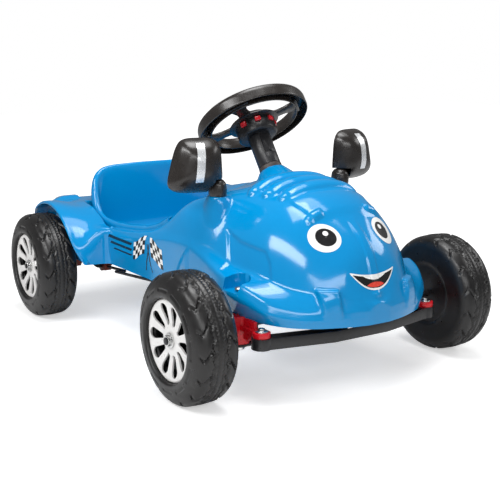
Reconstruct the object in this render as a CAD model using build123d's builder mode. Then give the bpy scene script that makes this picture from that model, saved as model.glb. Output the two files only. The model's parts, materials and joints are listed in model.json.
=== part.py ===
"""Pedal go kart for a small child.

Frame: +X forward, +Y to the kart's left, +Z up, millimetres.
The origin is on the floor, under the middle of the overall length.
"""
from build123d import *
from math import cos, radians, sin
import os

os.makedirs("parts", exist_ok=True)

# ---- driving dimensions -----------------------------------------------------------------
FRONT_AXLE_X = 302.5
REAR_AXLE_X = -327.5
AXLE_Z = 111.0                # wheel radius, so the tyres stand on z = 0
NOSE_X = 452.5
TAIL_X = -452.5
WALL = 4.0                    # wall of the blow-moulded shells

TYRE_R = AXLE_Z
TYRE_WIDTH = 84.0
TRACK_Y = 281.0               # middle of each wheel
RIM_R = 69.0
STUB_R = 6.0
AXLE_R = 5.0
BORE_CLEARANCE = 0.06         # radial, for everything that turns on a shaft

KINGPIN_Y = 179.0
KINGPIN_R = 5.0
STEER_ARM = 66.0              # kingpin to tie-rod bolt, and the shaft's crank throw
KNUCKLE_LOW = 86.0
KNUCKLE_TOP = 134.0
RECESS_FLOOR = 176.0          # floor of the oval slot that holds each kingpin's head

STEER_TILT = 53.9             # steering axis above the horizontal
STEER_CENTRE = (66.5, 0.0, 436.5)
STEER_RIM_R = 108.0
DRUM_R = 38.0
COLUMN_R = 21.5
SHAFT_R = 5.0
DRUM_TOP = 14.0               # distances down the steering axis from the wheel's centre
DRUM_BOTTOM = 40.0
COLUMN_BOTTOM = 104.0
DOME_TOP = 114.0
CRANK_AT = 425.0
BUTTON_ANGLES = (-66.0, -22.0, 22.0, 66.0)

TIE_ROD_LOW = 92.0
TIE_ROD_TOP = 111.0
TIE_ROD_WIDTH = 26.0

CRANK_THROW = 28.0
CRANK_ANGLE = -30.0           # right-hand crank pin at rest; the left one is opposite
CRANK_PIN_Y = 149.0
ROD_R = 3.0

PEDAL_PIVOT = (150.0, 215.0)  # x, z of the rod that the pedals hang on
PEDAL_PIVOT_R = 5.0

SEAT_FLOOR = 161.0
SEAT_BACK_X = -324.0
SEAT_TOP = 313.0
TUB_HALF = 158.0              # half-width of the seat tub's side walls

# ---- reference planes and axes ----------------------------------------------------------
TILT = radians(STEER_TILT)
STEER_UP = (-cos(TILT), 0, sin(TILT))
STEER_FORWARD = (sin(TILT), 0, cos(TILT))
STEER = Plane(origin=STEER_CENTRE, x_dir=STEER_FORWARD, z_dir=STEER_UP)
STEER_SECTION = Plane(origin=STEER_CENTRE, x_dir=STEER_FORWARD, z_dir=(0, -1, 0))
STEER_AXIS = Axis(STEER_CENTRE, STEER_UP)
SIDES = {"left": 1, "right": -1}


def across(x):
    """Plane across the kart at x: local x is +Y, local y is +Z."""
    return Plane(origin=(x, 0, 0), x_dir=(0, 1, 0), z_dir=(1, 0, 0))


def side_view(y):
    """Plane along the kart at y: local x is +X, local y is +Z, normal towards -Y."""
    return Plane(origin=(0, y, 0), x_dir=(1, 0, 0), z_dir=(0, -1, 0))


def finish(piece, name):
    """Label one finished piece and write it out."""
    piece.part.label = name
    export_step(piece.part, f"parts/{name}.step")


# ---- front body: hood, cowl, fender shelves and side panels -------------------------------
# Half sections from the top middle to the bottom edge:
# top middle, crown, mid side, valley or shoulder crease, shelf edge, crest, bottom edge.
BODY_SECTIONS = (
    (-190.0, (0, 207), (100, 206), (165, 204), (186, 201), (191, 190), (191, 160), (187, 127)),
    (-140.0, (0, 212), (100, 211), (165, 209), (186, 205), (192, 194), (192, 160), (187, 128)),
    (-58.0, (0, 222), (100, 221), (166, 219), (186, 215), (192, 203), (192, 160), (187, 129)),
    (-9.0, (0, 235), (100, 234), (166, 232), (185, 223), (192, 210), (192, 160), (187, 130)),
    (37.0, (0, 257), (100, 256), (166, 254), (185, 231), (191, 218), (191, 160), (186, 130)),
    (90.0, (0, 318), (88, 308), (164, 284), (184, 236), (189, 222), (189, 160), (185, 130)),
    (145.0, (0, 334), (88, 323), (146, 303), (180, 236), (188, 222), (188, 160), (184, 130)),
    (200.0, (0, 346), (76, 335), (128, 290), (168, 222), (186, 209), (188, 165), (183, 130)),
    (250.0, (0, 341), (72, 330), (126, 280), (162, 207), (190, 198), (195, 168), (182, 130)),
    (300.0, (0, 334), (68, 321), (122, 270), (154, 201), (190, 193), (199, 168), (181, 130)),
    (350.0, (0, 305), (66, 292), (114, 246), (140, 190), (178, 179), (188, 160), (170, 129)),
    (378.0, (0, 283), (62, 267), (104, 226), (124, 184), (160, 163), (168, 147), (156, 128)),
    (400.0, (0, 264), (56, 247), (88, 214), (106, 181), (136, 156), (143, 142), (137, 127)),
    (420.0, (0, 240), (46, 228), (70, 204), (86, 178), (112, 153), (118, 140), (112, 127)),
    (436.0, (0, 208), (32, 203), (48, 190), (58, 174), (76, 153), (82, 140), (78, 127)),
    (446.0, (0, 182), (18, 180), (28, 175), (36, 168), (48, 153), (52, 140), (50, 127)),
    (NOSE_X, (0, 168), (7, 167), (11, 165), (15, 160), (20, 150), (22, 140), (21, 127)),
)
CAVITY_END = 441.0            # the cavity stops short of the nose by the shell's wall


def mirrored(half):
    """Close a half outline by mirroring it about the kart's centre plane."""
    return list(half) + [(-y, z) for y, z in reversed(half) if y > 0]


def inset(half):
    """Shrink a half section by the wall and carry it out through the open bottom."""
    top = [(max(y - WALL, 0), z - WALL) for y, z in half[:5]]
    crest = (half[5][0] - WALL, half[5][1])
    edge = (half[6][0] - WALL, half[6][1] - 5 * WALL)
    return top + [crest, edge]


DOME_R = 27.0                 # top of the dome that carries the steering column
DOME_TAPER = -34.0
DOME_DEPTH = 46.0
BOSS_SLOT = (50.0, 26.0)      # length and width of each kingpin boss
RECESS_SLOT = (44.0, 20.0)    # and of the oval recess above it
with BuildPart() as front_body:
    for x, *half in BODY_SECTIONS:
        with BuildSketch(across(x)):
            with BuildLine():
                Polyline(*mirrored(half), close=True)
            make_face()
    loft(ruled=True)
    for x, *half in BODY_SECTIONS[:-1]:
        with BuildSketch(across(min(x, CAVITY_END))):
            with BuildLine():
                Polyline(*mirrored(inset(half)), close=True)
            make_face()
    loft(ruled=True, mode=Mode.SUBTRACT)
    # cockpit opening, with the cowl's rear edge bowed back towards the driver
    rim = [(-191, 161), (70, 161), (122, 140), (140, 112), (130, 80), (112, 40)]
    with BuildSketch(Plane.XY.offset(SEAT_FLOOR)):
        with BuildLine():
            Polyline(*rim, (100, 0), *[(x, -y) for x, y in reversed(rim)], close=True)
        make_face()
    extrude(amount=STEER_CENTRE[2] - SEAT_FLOOR, mode=Mode.SUBTRACT)
    # dome that carries the steering column
    with BuildSketch(STEER.offset(-DOME_TOP)):
        Circle(DOME_R)
    extrude(amount=-DOME_DEPTH, taper=DOME_TAPER)
    with BuildSketch(STEER.offset(-DOME_TOP - WALL)):
        Circle(DOME_R - WALL)
    extrude(amount=-DOME_DEPTH - 14, taper=DOME_TAPER, mode=Mode.SUBTRACT)
    with BuildSketch(STEER.offset(-DOME_TOP)):
        Circle(SHAFT_R + 2)
    extrude(amount=-2 * WALL, mode=Mode.SUBTRACT)
    for side in SIDES.values():
        # boss that holds the kingpin, and the oval recess above it
        with BuildSketch(Plane.XY.offset(KNUCKLE_TOP + 0.5)):
            with Locations((FRONT_AXLE_X, side * KINGPIN_Y)):
                SlotOverall(*BOSS_SLOT)
        extrude(amount=RECESS_FLOOR - KNUCKLE_TOP)
        with BuildSketch(Plane.XY.offset(RECESS_FLOOR)):
            with Locations((FRONT_AXLE_X, side * KINGPIN_Y)):
                SlotOverall(*RECESS_SLOT)
        extrude(amount=40, mode=Mode.SUBTRACT)
        with BuildSketch(Plane.XY.offset(KNUCKLE_TOP)):
            with Locations((FRONT_AXLE_X, side * KINGPIN_Y)):
                Circle(KINGPIN_R)
        extrude(amount=RECESS_FLOOR, mode=Mode.SUBTRACT)
finish(front_body, "front_body")

# ---- seat tub: bucket seat with a rolled rim ---------------------------------------------
RIM_LINE = ((37, 254), (-9, 232), (-58, 219), (-140, 209), (-210, 204), (-268, 208), (-304, 224))
RIM_LIFT = 0.5                # the rolled rim rests just above the side panels
tub_profile = [
    (-20, SEAT_FLOOR),
    (-6, SEAT_FLOOR + 22),
    (37, 226),
    *[(x, z + RIM_LIFT) for x, z in RIM_LINE],
    (SEAT_BACK_X + 6, SEAT_TOP),
    (SEAT_BACK_X - 6, SEAT_TOP),
    (SEAT_BACK_X - 10, SEAT_FLOOR),
]
seat_hollow = [
    (60, SEAT_FLOOR + 3 * WALL),
    (60, SEAT_TOP + 20),
    (SEAT_BACK_X + 1, SEAT_TOP + 20),
    (SEAT_BACK_X - 3, SEAT_FLOOR + 20),
    (SEAT_BACK_X + 15, SEAT_FLOOR + WALL),
    (-60, SEAT_FLOOR + WALL),
    (-24, SEAT_FLOOR + 3 * WALL),
]
RIM_THICK = 5.0
RIM_HALF = 172.0
with BuildPart() as seat_tub:
    with BuildSketch(side_view(0)):
        with BuildLine():
            Polyline(*tub_profile, close=True)
        make_face()
    extrude(amount=TUB_HALF, both=True)
    with BuildSketch(side_view(0)):
        with BuildLine():
            Polyline(*seat_hollow, close=True)
        make_face()
    extrude(amount=TUB_HALF - WALL, both=True, mode=Mode.SUBTRACT)
    # rolled rim along both sides, and round the top of the back
    low = [(x, z + RIM_LIFT) for x, z in RIM_LINE] + [(SEAT_BACK_X + 8, SEAT_TOP - 14)]
    high = [(x, z + RIM_THICK) for x, z in reversed(low)]
    low[-1] = (SEAT_BACK_X - 8, SEAT_TOP - 14)
    high[0] = (SEAT_BACK_X + 12, SEAT_TOP - 10)
    for side in SIDES.values():
        with BuildSketch(side_view(side * (RIM_HALF + TUB_HALF - WALL) / 2)):
            with BuildLine():
                Polyline(*low, *high, close=True)
            make_face()
        extrude(amount=(RIM_HALF - TUB_HALF + WALL) / 2, both=True)
    with BuildSketch(side_view(0)):
        with Locations((SEAT_BACK_X - 1, SEAT_TOP - 4)):
            Rectangle(20, 12)
    extrude(amount=RIM_HALF - 14, both=True)
finish(seat_tub, "seat_tub")

# ---- rear deck: cross member behind the seat, side pods and wheel arches -----------------
DECK_HALF = 232.0
DECK_INNER = 177.0            # pods' inner walls, clear of the tub's rim
ARCH_R = 128.0
ARCH_EDGE = 266.0
DECK_LOW = 128.0
TUB_GAP = 12.0                # from the back of the seat to the deck's cross member
WEB = (40.0, 14.0)            # web down to each axle bearing: length, thickness
BEARING_Y = 203.0
BEARING_TOP = 126.0
DECK_FRONT = -190.5
PLAN_CORNERS = [
    (DECK_FRONT, 193), (-214, 204), (-228, 226), (-242, 258), (-268, ARCH_EDGE),
    (-396, ARCH_EDGE), (-428, 252), (-446, 222), (TAIL_X, 180),
]
plan_outline = PLAN_CORNERS + [(x, -y) for x, y in reversed(PLAN_CORNERS)]
deck_profile = [
    (DECK_FRONT, DECK_LOW),
    (DECK_FRONT, 203),
    (-226, 207),
    (-244, 236),
    (-262, 245),
    (-392, 245),
    (-432, 234),
    (TAIL_X, 204),
    (TAIL_X + 2, 162),
    (TAIL_X + 16, 138),
    (TAIL_X + 36, DECK_LOW),
]
hollow_profile = [
    (DECK_FRONT - WALL, DECK_LOW - 1),
    (DECK_FRONT - WALL, 199),
    (-229, 203),
    (-247, 232),
    (-264, 241),
    (-391, 241),
    (-430, 230),
    (TAIL_X + WALL, 202),
    (TAIL_X + WALL + 2, 162),
    (TAIL_X + WALL + 15, 140),
    (TAIL_X + WALL + 37, DECK_LOW - 1),
]


def arches(radius, inner_face):
    """Cut the round space over each rear tyre out of the part being built."""
    for side in SIDES.values():
        with BuildSketch(side_view(side * (inner_face + TYRE_WIDTH))) as arch:
            with Locations((REAR_AXLE_X, AXLE_Z)):
                Circle(radius)
        extrude(arch.sketch, amount=TYRE_WIDTH, both=True, mode=Mode.SUBTRACT)


with BuildPart() as deck_hollow:
    with BuildSketch(side_view(0)):
        with BuildLine():
            Polyline(*hollow_profile, close=True)
        make_face()
    extrude(amount=ARCH_EDGE, both=True)
    with BuildSketch(Plane.XY.offset(DECK_LOW - 1)):
        with BuildLine():
            Polyline(*plan_outline, close=True)
        make_face()
        offset(amount=-WALL, kind=Kind.INTERSECTION)
    extrude(amount=2 * DECK_LOW, mode=Mode.INTERSECT)
    arches(ARCH_R + WALL, DECK_HALF - WALL)

with BuildPart() as rear_deck:
    with BuildSketch(side_view(0)):
        with BuildLine():
            Polyline(*deck_profile, close=True)
        make_face()
    extrude(amount=ARCH_EDGE, both=True)
    with BuildSketch(Plane.XY.offset(DECK_LOW)):
        with BuildLine():
            Polyline(*plan_outline, close=True)
        make_face()
    extrude(amount=2 * DECK_LOW, mode=Mode.INTERSECT)
    arches(ARCH_R, DECK_HALF)
    add(deck_hollow.part, mode=Mode.SUBTRACT)
    # room for the seat tub, closed by the pods' inner walls
    with BuildSketch(Plane.XY.offset(DECK_LOW - 1)):
        with Locations((SEAT_BACK_X - TUB_GAP, 0)):
            Rectangle(DECK_FRONT - SEAT_BACK_X + 2 * TUB_GAP, 2 * DECK_INNER, align=(Align.MIN, Align.CENTER))
    extrude(amount=2 * DECK_LOW, mode=Mode.SUBTRACT)
    for side in SIDES.values():
        with BuildSketch(side_view(side * (DECK_INNER + WALL / 2))):
            with BuildLine():
                Polyline((-192, 140), (-192, 202), (-226, 206), (-244, 235), (-262, 244), (-336, 244),
                         (-336, 158), (-286, 158), (-270, 140), close=True)
            make_face()
        extrude(amount=WALL / 2, both=True)
        # web down to the axle bearing
        with BuildSketch(Plane.XY.offset(BEARING_TOP)):
            with Locations((REAR_AXLE_X, side * BEARING_Y)):
                Rectangle(*WEB)
        extrude(amount=244 - BEARING_TOP)
finish(rear_deck, "rear_deck")

# ---- front beam: holds both kingpins from below and guides the steering shaft --------------
BEAM_LOW = 114.0
BEAM_HALF = 155.0
BEAM_LEG = 5.0
BEAM_WIDTH = 26.0
GUIDE = (50.0, 36.0)          # block round the steering shaft: length, width
TAB_LOW = 80.0
TAB_THICK = 4.0
TAB_R = 14.0
with BuildPart() as front_beam:
    with BuildSketch(Plane.XY.offset(BEAM_LOW)):
        with Locations((FRONT_AXLE_X, 0)):
            Rectangle(BEAM_WIDTH, 2 * BEAM_HALF)
        with Locations((FRONT_AXLE_X - 12, 0)):
            Rectangle(*GUIDE)
    extrude(amount=KNUCKLE_TOP - BEAM_LOW)
    for side in SIDES.values():
        with BuildSketch(Plane.XY.offset(TAB_LOW)):
            with Locations((FRONT_AXLE_X, side * (BEAM_HALF - BEAM_LEG / 2))):
                Rectangle(BEAM_WIDTH, BEAM_LEG)
        extrude(amount=BEAM_LOW - TAB_LOW)
        with BuildSketch(Plane.XY.offset(TAB_LOW)):
            with Locations((FRONT_AXLE_X, side * (BEAM_HALF - BEAM_LEG + KINGPIN_Y) / 2)):
                Rectangle(BEAM_WIDTH, KINGPIN_Y - BEAM_HALF + BEAM_LEG)
            with Locations((FRONT_AXLE_X, side * KINGPIN_Y)):
                Circle(TAB_R)
        extrude(amount=TAB_THICK)
        with BuildSketch(Plane.XY.offset(TAB_LOW)):
            with Locations((FRONT_AXLE_X, side * KINGPIN_Y)):
                Circle(KINGPIN_R)
        extrude(amount=TAB_THICK, mode=Mode.SUBTRACT)
    with BuildSketch(STEER.offset(-340)):
        Circle(SHAFT_R + BORE_CLEARANCE)
    extrude(amount=-80, mode=Mode.SUBTRACT)
finish(front_beam, "front_beam")

# ---- kingpin bolts and their nuts --------------------------------------------------------
KINGPIN_END = 72.0
HEAD_R = 8.5
HEAD_HIGH = 6.0
for name, side in SIDES.items():
    with BuildPart() as kingpin_bolt:
        with BuildSketch(Plane.XY.offset(KINGPIN_END)):
            with Locations((FRONT_AXLE_X, side * KINGPIN_Y)):
                Circle(KINGPIN_R)
        extrude(amount=RECESS_FLOOR - KINGPIN_END)
        with BuildSketch(Plane.XY.offset(RECESS_FLOOR)):
            with Locations((FRONT_AXLE_X, side * KINGPIN_Y)):
                Circle(HEAD_R)
        extrude(amount=HEAD_HIGH)
        fillet(edges().sort_by(Axis.Z)[-1], 4)
    finish(kingpin_bolt, f"kingpin_bolt_{name}")

with BuildPart() as kingpin_nuts:
    with BuildSketch(Plane.XY.offset(TAB_LOW - HEAD_HIGH)):
        with Locations((FRONT_AXLE_X, KINGPIN_Y), (FRONT_AXLE_X, -KINGPIN_Y)):
            RegularPolygon(HEAD_R, 6)
            Circle(KINGPIN_R, mode=Mode.SUBTRACT)
    extrude(amount=HEAD_HIGH)
finish(kingpin_nuts, "kingpin_nuts")

# ---- steering wheel, drum, buttons, column and shaft -------------------------------------
SPOKE_ANGLES = (50, 130, 230, 310)
SPOKE_MID = 68.0
SPOKE_THICK = 7.0
GRIP = (24.0, 26.0)           # rim's section: across, along the axis
with BuildPart() as steering_wheel:
    with BuildSketch(STEER_SECTION):
        with Locations((STEER_RIM_R - GRIP[0] / 2, 0)):
            RectangleRounded(*GRIP, 9)
        with BuildLine():
            Polyline((14, -4), (40, -4), (52, -6), (52, -12), (40, -DRUM_TOP), (14, -DRUM_TOP), close=True)
        make_face()
    revolve(axis=STEER_AXIS)
    with BuildSketch(STEER.offset(-10)):
        for angle in SPOKE_ANGLES:
            turn = radians(angle)
            with Locations(Location((SPOKE_MID * cos(turn), SPOKE_MID * sin(turn)), angle)):
                Trapezoid(26, 40, 80, rotation=90)
    extrude(amount=SPOKE_THICK)
finish(steering_wheel, "steering_wheel")

with BuildPart() as hub_cover:
    with BuildSketch(STEER_SECTION):
        with BuildLine():
            Polyline((0, -DRUM_TOP), (13.9, -DRUM_TOP), (13.9, -4), (34, -4), (30, 4), (0, 7), close=True)
        make_face()
    revolve(axis=STEER_AXIS)
finish(hub_cover, "hub_cover")

DRUM_WALL = 3.0
BUTTON_W = 11.0
BUTTON_H = 9.0
BUTTON_PLAY = 0.4
BUTTON_DOWN = 19.5            # the buttons' row, down the steering axis
BUTTON_PROUD = 3.5
BUTTON_DEEP = 8.0             # from the button's back to the drum's skin


def button_plane(angle):
    """Plane on the drum's axis, facing outwards at this angle from straight ahead."""
    turn = radians(angle)
    out = [cos(turn) * f for f in STEER_FORWARD]
    out[1] = sin(turn)
    row = STEER.offset(-BUTTON_DOWN).origin
    return Plane(origin=row, x_dir=STEER_UP, z_dir=tuple(out))


with BuildPart() as steering_drum:
    with BuildSketch(STEER.offset(-DRUM_BOTTOM)):
        Circle(DRUM_R)
    extrude(amount=DRUM_BOTTOM - DRUM_TOP)
    chamfer(edges().filter_by(GeomType.CIRCLE).group_by(STEER_AXIS)[0], 3)
    with BuildSketch(STEER.offset(-DRUM_BOTTOM + DRUM_WALL)):
        Circle(DRUM_R - DRUM_WALL)
    extrude(amount=DRUM_BOTTOM, mode=Mode.SUBTRACT)
    for angle in BUTTON_ANGLES:
        with BuildSketch(button_plane(angle).offset(DRUM_R - BUTTON_DEEP)):
            Rectangle(BUTTON_H + 2 * BUTTON_PLAY, BUTTON_W + 2 * BUTTON_PLAY)
        extrude(amount=2 * BUTTON_DEEP, mode=Mode.SUBTRACT)
finish(steering_drum, "steering_drum")

for number, angle in enumerate(BUTTON_ANGLES, start=1):
    with BuildPart() as button:
        with BuildSketch(button_plane(angle).offset(DRUM_R - BUTTON_DEEP)):
            RectangleRounded(BUTTON_H, BUTTON_W, 2)
        extrude(amount=BUTTON_DEEP + BUTTON_PROUD)
    finish(button, f"button_{number}")

COVER_W = 22.0
COVER_LENGTH = 40.0
COVER_DOWN = 62.0
COVER_DEEP = 4.0              # pocket in the column for the battery cover
TUBE_WALL = 3.0
TUBE_FLOOR = 14.0
cover_plane = Plane(origin=STEER.offset(-COVER_DOWN).origin, x_dir=STEER_UP, z_dir=STEER_FORWARD)
with BuildPart() as column_tube:
    with BuildSketch(STEER.offset(-COLUMN_BOTTOM)):
        Circle(COLUMN_R)
    extrude(amount=COLUMN_BOTTOM - DRUM_BOTTOM)
    with BuildSketch(STEER.offset(-COLUMN_BOTTOM + TUBE_FLOOR)):
        Circle(COLUMN_R - TUBE_WALL)
    extrude(amount=COLUMN_BOTTOM, mode=Mode.SUBTRACT)
    with BuildSketch(STEER.offset(-COLUMN_BOTTOM)):
        Circle(SHAFT_R)
    extrude(amount=TUBE_FLOOR, mode=Mode.SUBTRACT)
    with BuildSketch(cover_plane.offset(COLUMN_R - COVER_DEEP)):
        Rectangle(COVER_LENGTH + 0.6, COVER_W + 0.6)
    extrude(amount=2 * COVER_DEEP, mode=Mode.SUBTRACT)
finish(column_tube, "column_tube")

with BuildPart() as battery_cover:
    with BuildSketch(cover_plane.offset(COLUMN_R - COVER_DEEP)):
        Rectangle(COVER_LENGTH, COVER_W)
    extrude(amount=2.4)
    with BuildSketch(cover_plane.offset(COLUMN_R - 1.6)):
        with Locations((-COVER_LENGTH / 2 + 5, 0)):
            RectangleRounded(8, 7, 2)
    extrude(amount=2.4)
finish(battery_cover, "battery_cover")

with BuildPart() as column_collar:
    with BuildSketch(STEER.offset(-DOME_TOP)):
        Circle(22)
        Circle(SHAFT_R + BORE_CLEARANCE, mode=Mode.SUBTRACT)
    extrude(amount=DOME_TOP - COLUMN_BOTTOM - 0.5)
finish(column_collar, "column_collar")

PIN_BOTTOM = 476.0            # the crank pin's end, just through the tie rod's floor
with BuildPart() as steering_shaft:
    with BuildLine(STEER_SECTION):
        bent_rod = FilletPolyline(
            (0, -COLUMN_BOTTOM + TUBE_FLOOR), (0, -CRANK_AT),
            (STEER_ARM, -CRANK_AT), (STEER_ARM, -PIN_BOTTOM), radius=10)
    with BuildSketch(STEER.offset(-COLUMN_BOTTOM + TUBE_FLOOR)):
        Circle(SHAFT_R)
    sweep(path=bent_rod)
finish(steering_shaft, "steering_shaft")

# ---- tie rod: ribbed open channel, bowed forward in the middle ----------------------------
TIE_X = FRONT_AXLE_X + STEER_ARM
BOW_X = 395.0
BOW_HALF = 56.0
END_R = 17.0                  # round ends, wider than the channel
CHANNEL_END = 157.0
RIB_PITCH = 26
BOLT_R = 4.0
PIN_X = STEER_CENTRE[0] + STEER_ARM * sin(TILT) + (PIN_BOTTOM - 8) * cos(TILT)
tie_line = [(TIE_X, -KINGPIN_Y), (BOW_X, -BOW_HALF), (BOW_X, BOW_HALF), (TIE_X, KINGPIN_Y)]
with BuildPart() as tie_rod:
    with BuildSketch(Plane.XY.offset(TIE_ROD_LOW)):
        with BuildLine():
            Polyline(*tie_line)
        trace(line_width=TIE_ROD_WIDTH)
        with Locations(tie_line[0], tie_line[-1]):
            Circle(END_R)
    extrude(amount=TIE_ROD_TOP - TIE_ROD_LOW)
    with BuildSketch(Plane.XY.offset(TIE_ROD_LOW + WALL)):
        with BuildLine():
            Polyline((TIE_X + 5, -CHANNEL_END), tie_line[1], tie_line[2], (TIE_X + 5, CHANNEL_END))
        trace(line_width=TIE_ROD_WIDTH - 7)
    extrude(amount=TIE_ROD_TOP, mode=Mode.SUBTRACT)
    for y in range(-5 * RIB_PITCH, 5 * RIB_PITCH + 1, RIB_PITCH):
        if y:
            bend = min(1.0, max(0.0, (abs(y) - BOW_HALF) / (KINGPIN_Y - BOW_HALF)))
            with BuildSketch(Plane.XY.offset(TIE_ROD_LOW + 1)):
                with Locations((BOW_X + (TIE_X - BOW_X) * bend, y)):
                    Rectangle(TIE_ROD_WIDTH - 5, 3)
            extrude(amount=12)
    with BuildSketch(Plane.XY.offset(TIE_ROD_LOW - 1)):
        with Locations((PIN_X, 0)):
            SlotOverall(20, 14)
    extrude(amount=WALL + 2, mode=Mode.SUBTRACT)
    with BuildSketch(Plane.XY.offset(TIE_ROD_LOW + WALL)):
        with Locations((PIN_X - 12, 0)):
            Rectangle(24, 26)
    extrude(amount=TIE_ROD_TOP, mode=Mode.SUBTRACT)
    with BuildSketch(Plane.XY.offset(TIE_ROD_LOW + WALL)):
        with Locations((TIE_X, KINGPIN_Y), (TIE_X, -KINGPIN_Y)):
            Circle(BOLT_R + BORE_CLEARANCE)
    extrude(amount=TIE_ROD_TOP, mode=Mode.SUBTRACT)
finish(tie_rod, "tie_rod")

# ---- steering knuckles, stub axles, tie-rod bolts ------------------------------------------
ARM_LOW = TIE_ROD_TOP + 0.4
ARM_TOP = 120.0
KNUCKLE_R = 17.0
KNUCKLE_FACE = 207.0          # outer face, where the stub axle leaves
STUB_START = KINGPIN_Y + 11.0
STUB_END = TRACK_Y + 40.0
BOLT_END = TIE_ROD_LOW + WALL + 0.5
WASHER_THICK = 2.5
for name, side in SIDES.items():
    with BuildPart() as knuckle:
        with BuildSketch(Plane.XY.offset(KNUCKLE_LOW)):
            with Locations((FRONT_AXLE_X, side * KINGPIN_Y)):
                Circle(KNUCKLE_R)
            with Locations((FRONT_AXLE_X, side * (KINGPIN_Y + KNUCKLE_FACE) / 2)):
                Rectangle(30, KNUCKLE_FACE - KINGPIN_Y)
        extrude(amount=KNUCKLE_TOP - KNUCKLE_LOW)
        with BuildSketch(Plane.XY.offset(ARM_LOW)):
            with Locations((FRONT_AXLE_X + STEER_ARM / 2, side * KINGPIN_Y)):
                Rectangle(STEER_ARM, 18)
            with Locations((TIE_X, side * KINGPIN_Y)):
                Circle(15)
        extrude(amount=ARM_TOP - ARM_LOW)
        with BuildSketch(side_view(side * KINGPIN_Y)):
            with BuildLine():
                Polyline((FRONT_AXLE_X, 96), (FRONT_AXLE_X + 30, 96), (FRONT_AXLE_X + 48, ARM_LOW),
                         (FRONT_AXLE_X + 48, 132), (FRONT_AXLE_X, 132), close=True)
            make_face()
        extrude(amount=3, both=True)
        with BuildSketch(Plane.XY.offset(KNUCKLE_LOW)):
            with Locations((FRONT_AXLE_X, side * KINGPIN_Y)):
                Circle(KINGPIN_R + BORE_CLEARANCE)
            with Locations((TIE_X, side * KINGPIN_Y)):
                Circle(BOLT_R)
        extrude(amount=KNUCKLE_TOP, mode=Mode.SUBTRACT)
        with BuildSketch(side_view(side * STUB_START)):
            with Locations((FRONT_AXLE_X, AXLE_Z)):
                Circle(STUB_R)
        extrude(amount=-side * (STUB_END - STUB_START), mode=Mode.SUBTRACT)
    finish(knuckle, f"knuckle_{name}")

    with BuildPart() as stub_axle:
        with BuildSketch(side_view(side * STUB_START)):
            with Locations((FRONT_AXLE_X, AXLE_Z)):
                Circle(STUB_R)
        extrude(amount=-side * (STUB_END - STUB_START))
    finish(stub_axle, f"stub_axle_{name}")

    with BuildPart() as tie_rod_bolt:
        with BuildSketch(Plane.XY.offset(BOLT_END)):
            with Locations((TIE_X, side * KINGPIN_Y)):
                Circle(BOLT_R)
        extrude(amount=ARM_TOP - BOLT_END)
        with BuildSketch(Plane.XY.offset(ARM_TOP)):
            with Locations((TIE_X, side * KINGPIN_Y)):
                Circle(11)
        extrude(amount=WASHER_THICK)
        with BuildSketch(Plane.XY.offset(ARM_TOP + WASHER_THICK)):
            with Locations((TIE_X, side * KINGPIN_Y)):
                RegularPolygon(6, 6)
        extrude(amount=4)
    finish(tie_rod_bolt, f"tie_rod_bolt_{name}")

# ---- wheels: blow-moulded tyre and hub, silver disc, axle nut ------------------------------
HALF_W = TYRE_WIDTH / 2
DISC_AT = HALF_W - 12         # the disc's outer face, from the wheel's middle plane
HUB_R = 15.0
CORNERS = {
    "front_left": (FRONT_AXLE_X, 1, STUB_R + BORE_CLEARANCE),
    "front_right": (FRONT_AXLE_X, -1, STUB_R + BORE_CLEARANCE),
    "rear_left": (REAR_AXLE_X, 1, AXLE_R + BORE_CLEARANCE),
    "rear_right": (REAR_AXLE_X, -1, AXLE_R),
}
OPENINGS = 10
DISC_THICK = 3.5
DISC_GAP = 0.3                # between the disc and the washer under the nut


def wheel_section(x, side):
    """Plane through a wheel's axis: local x is the radius (up), local y points outboard."""
    return Plane(origin=(x, side * TRACK_Y, AXLE_Z), x_dir=(0, 0, 1), z_dir=(-side, 0, 0))


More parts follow.
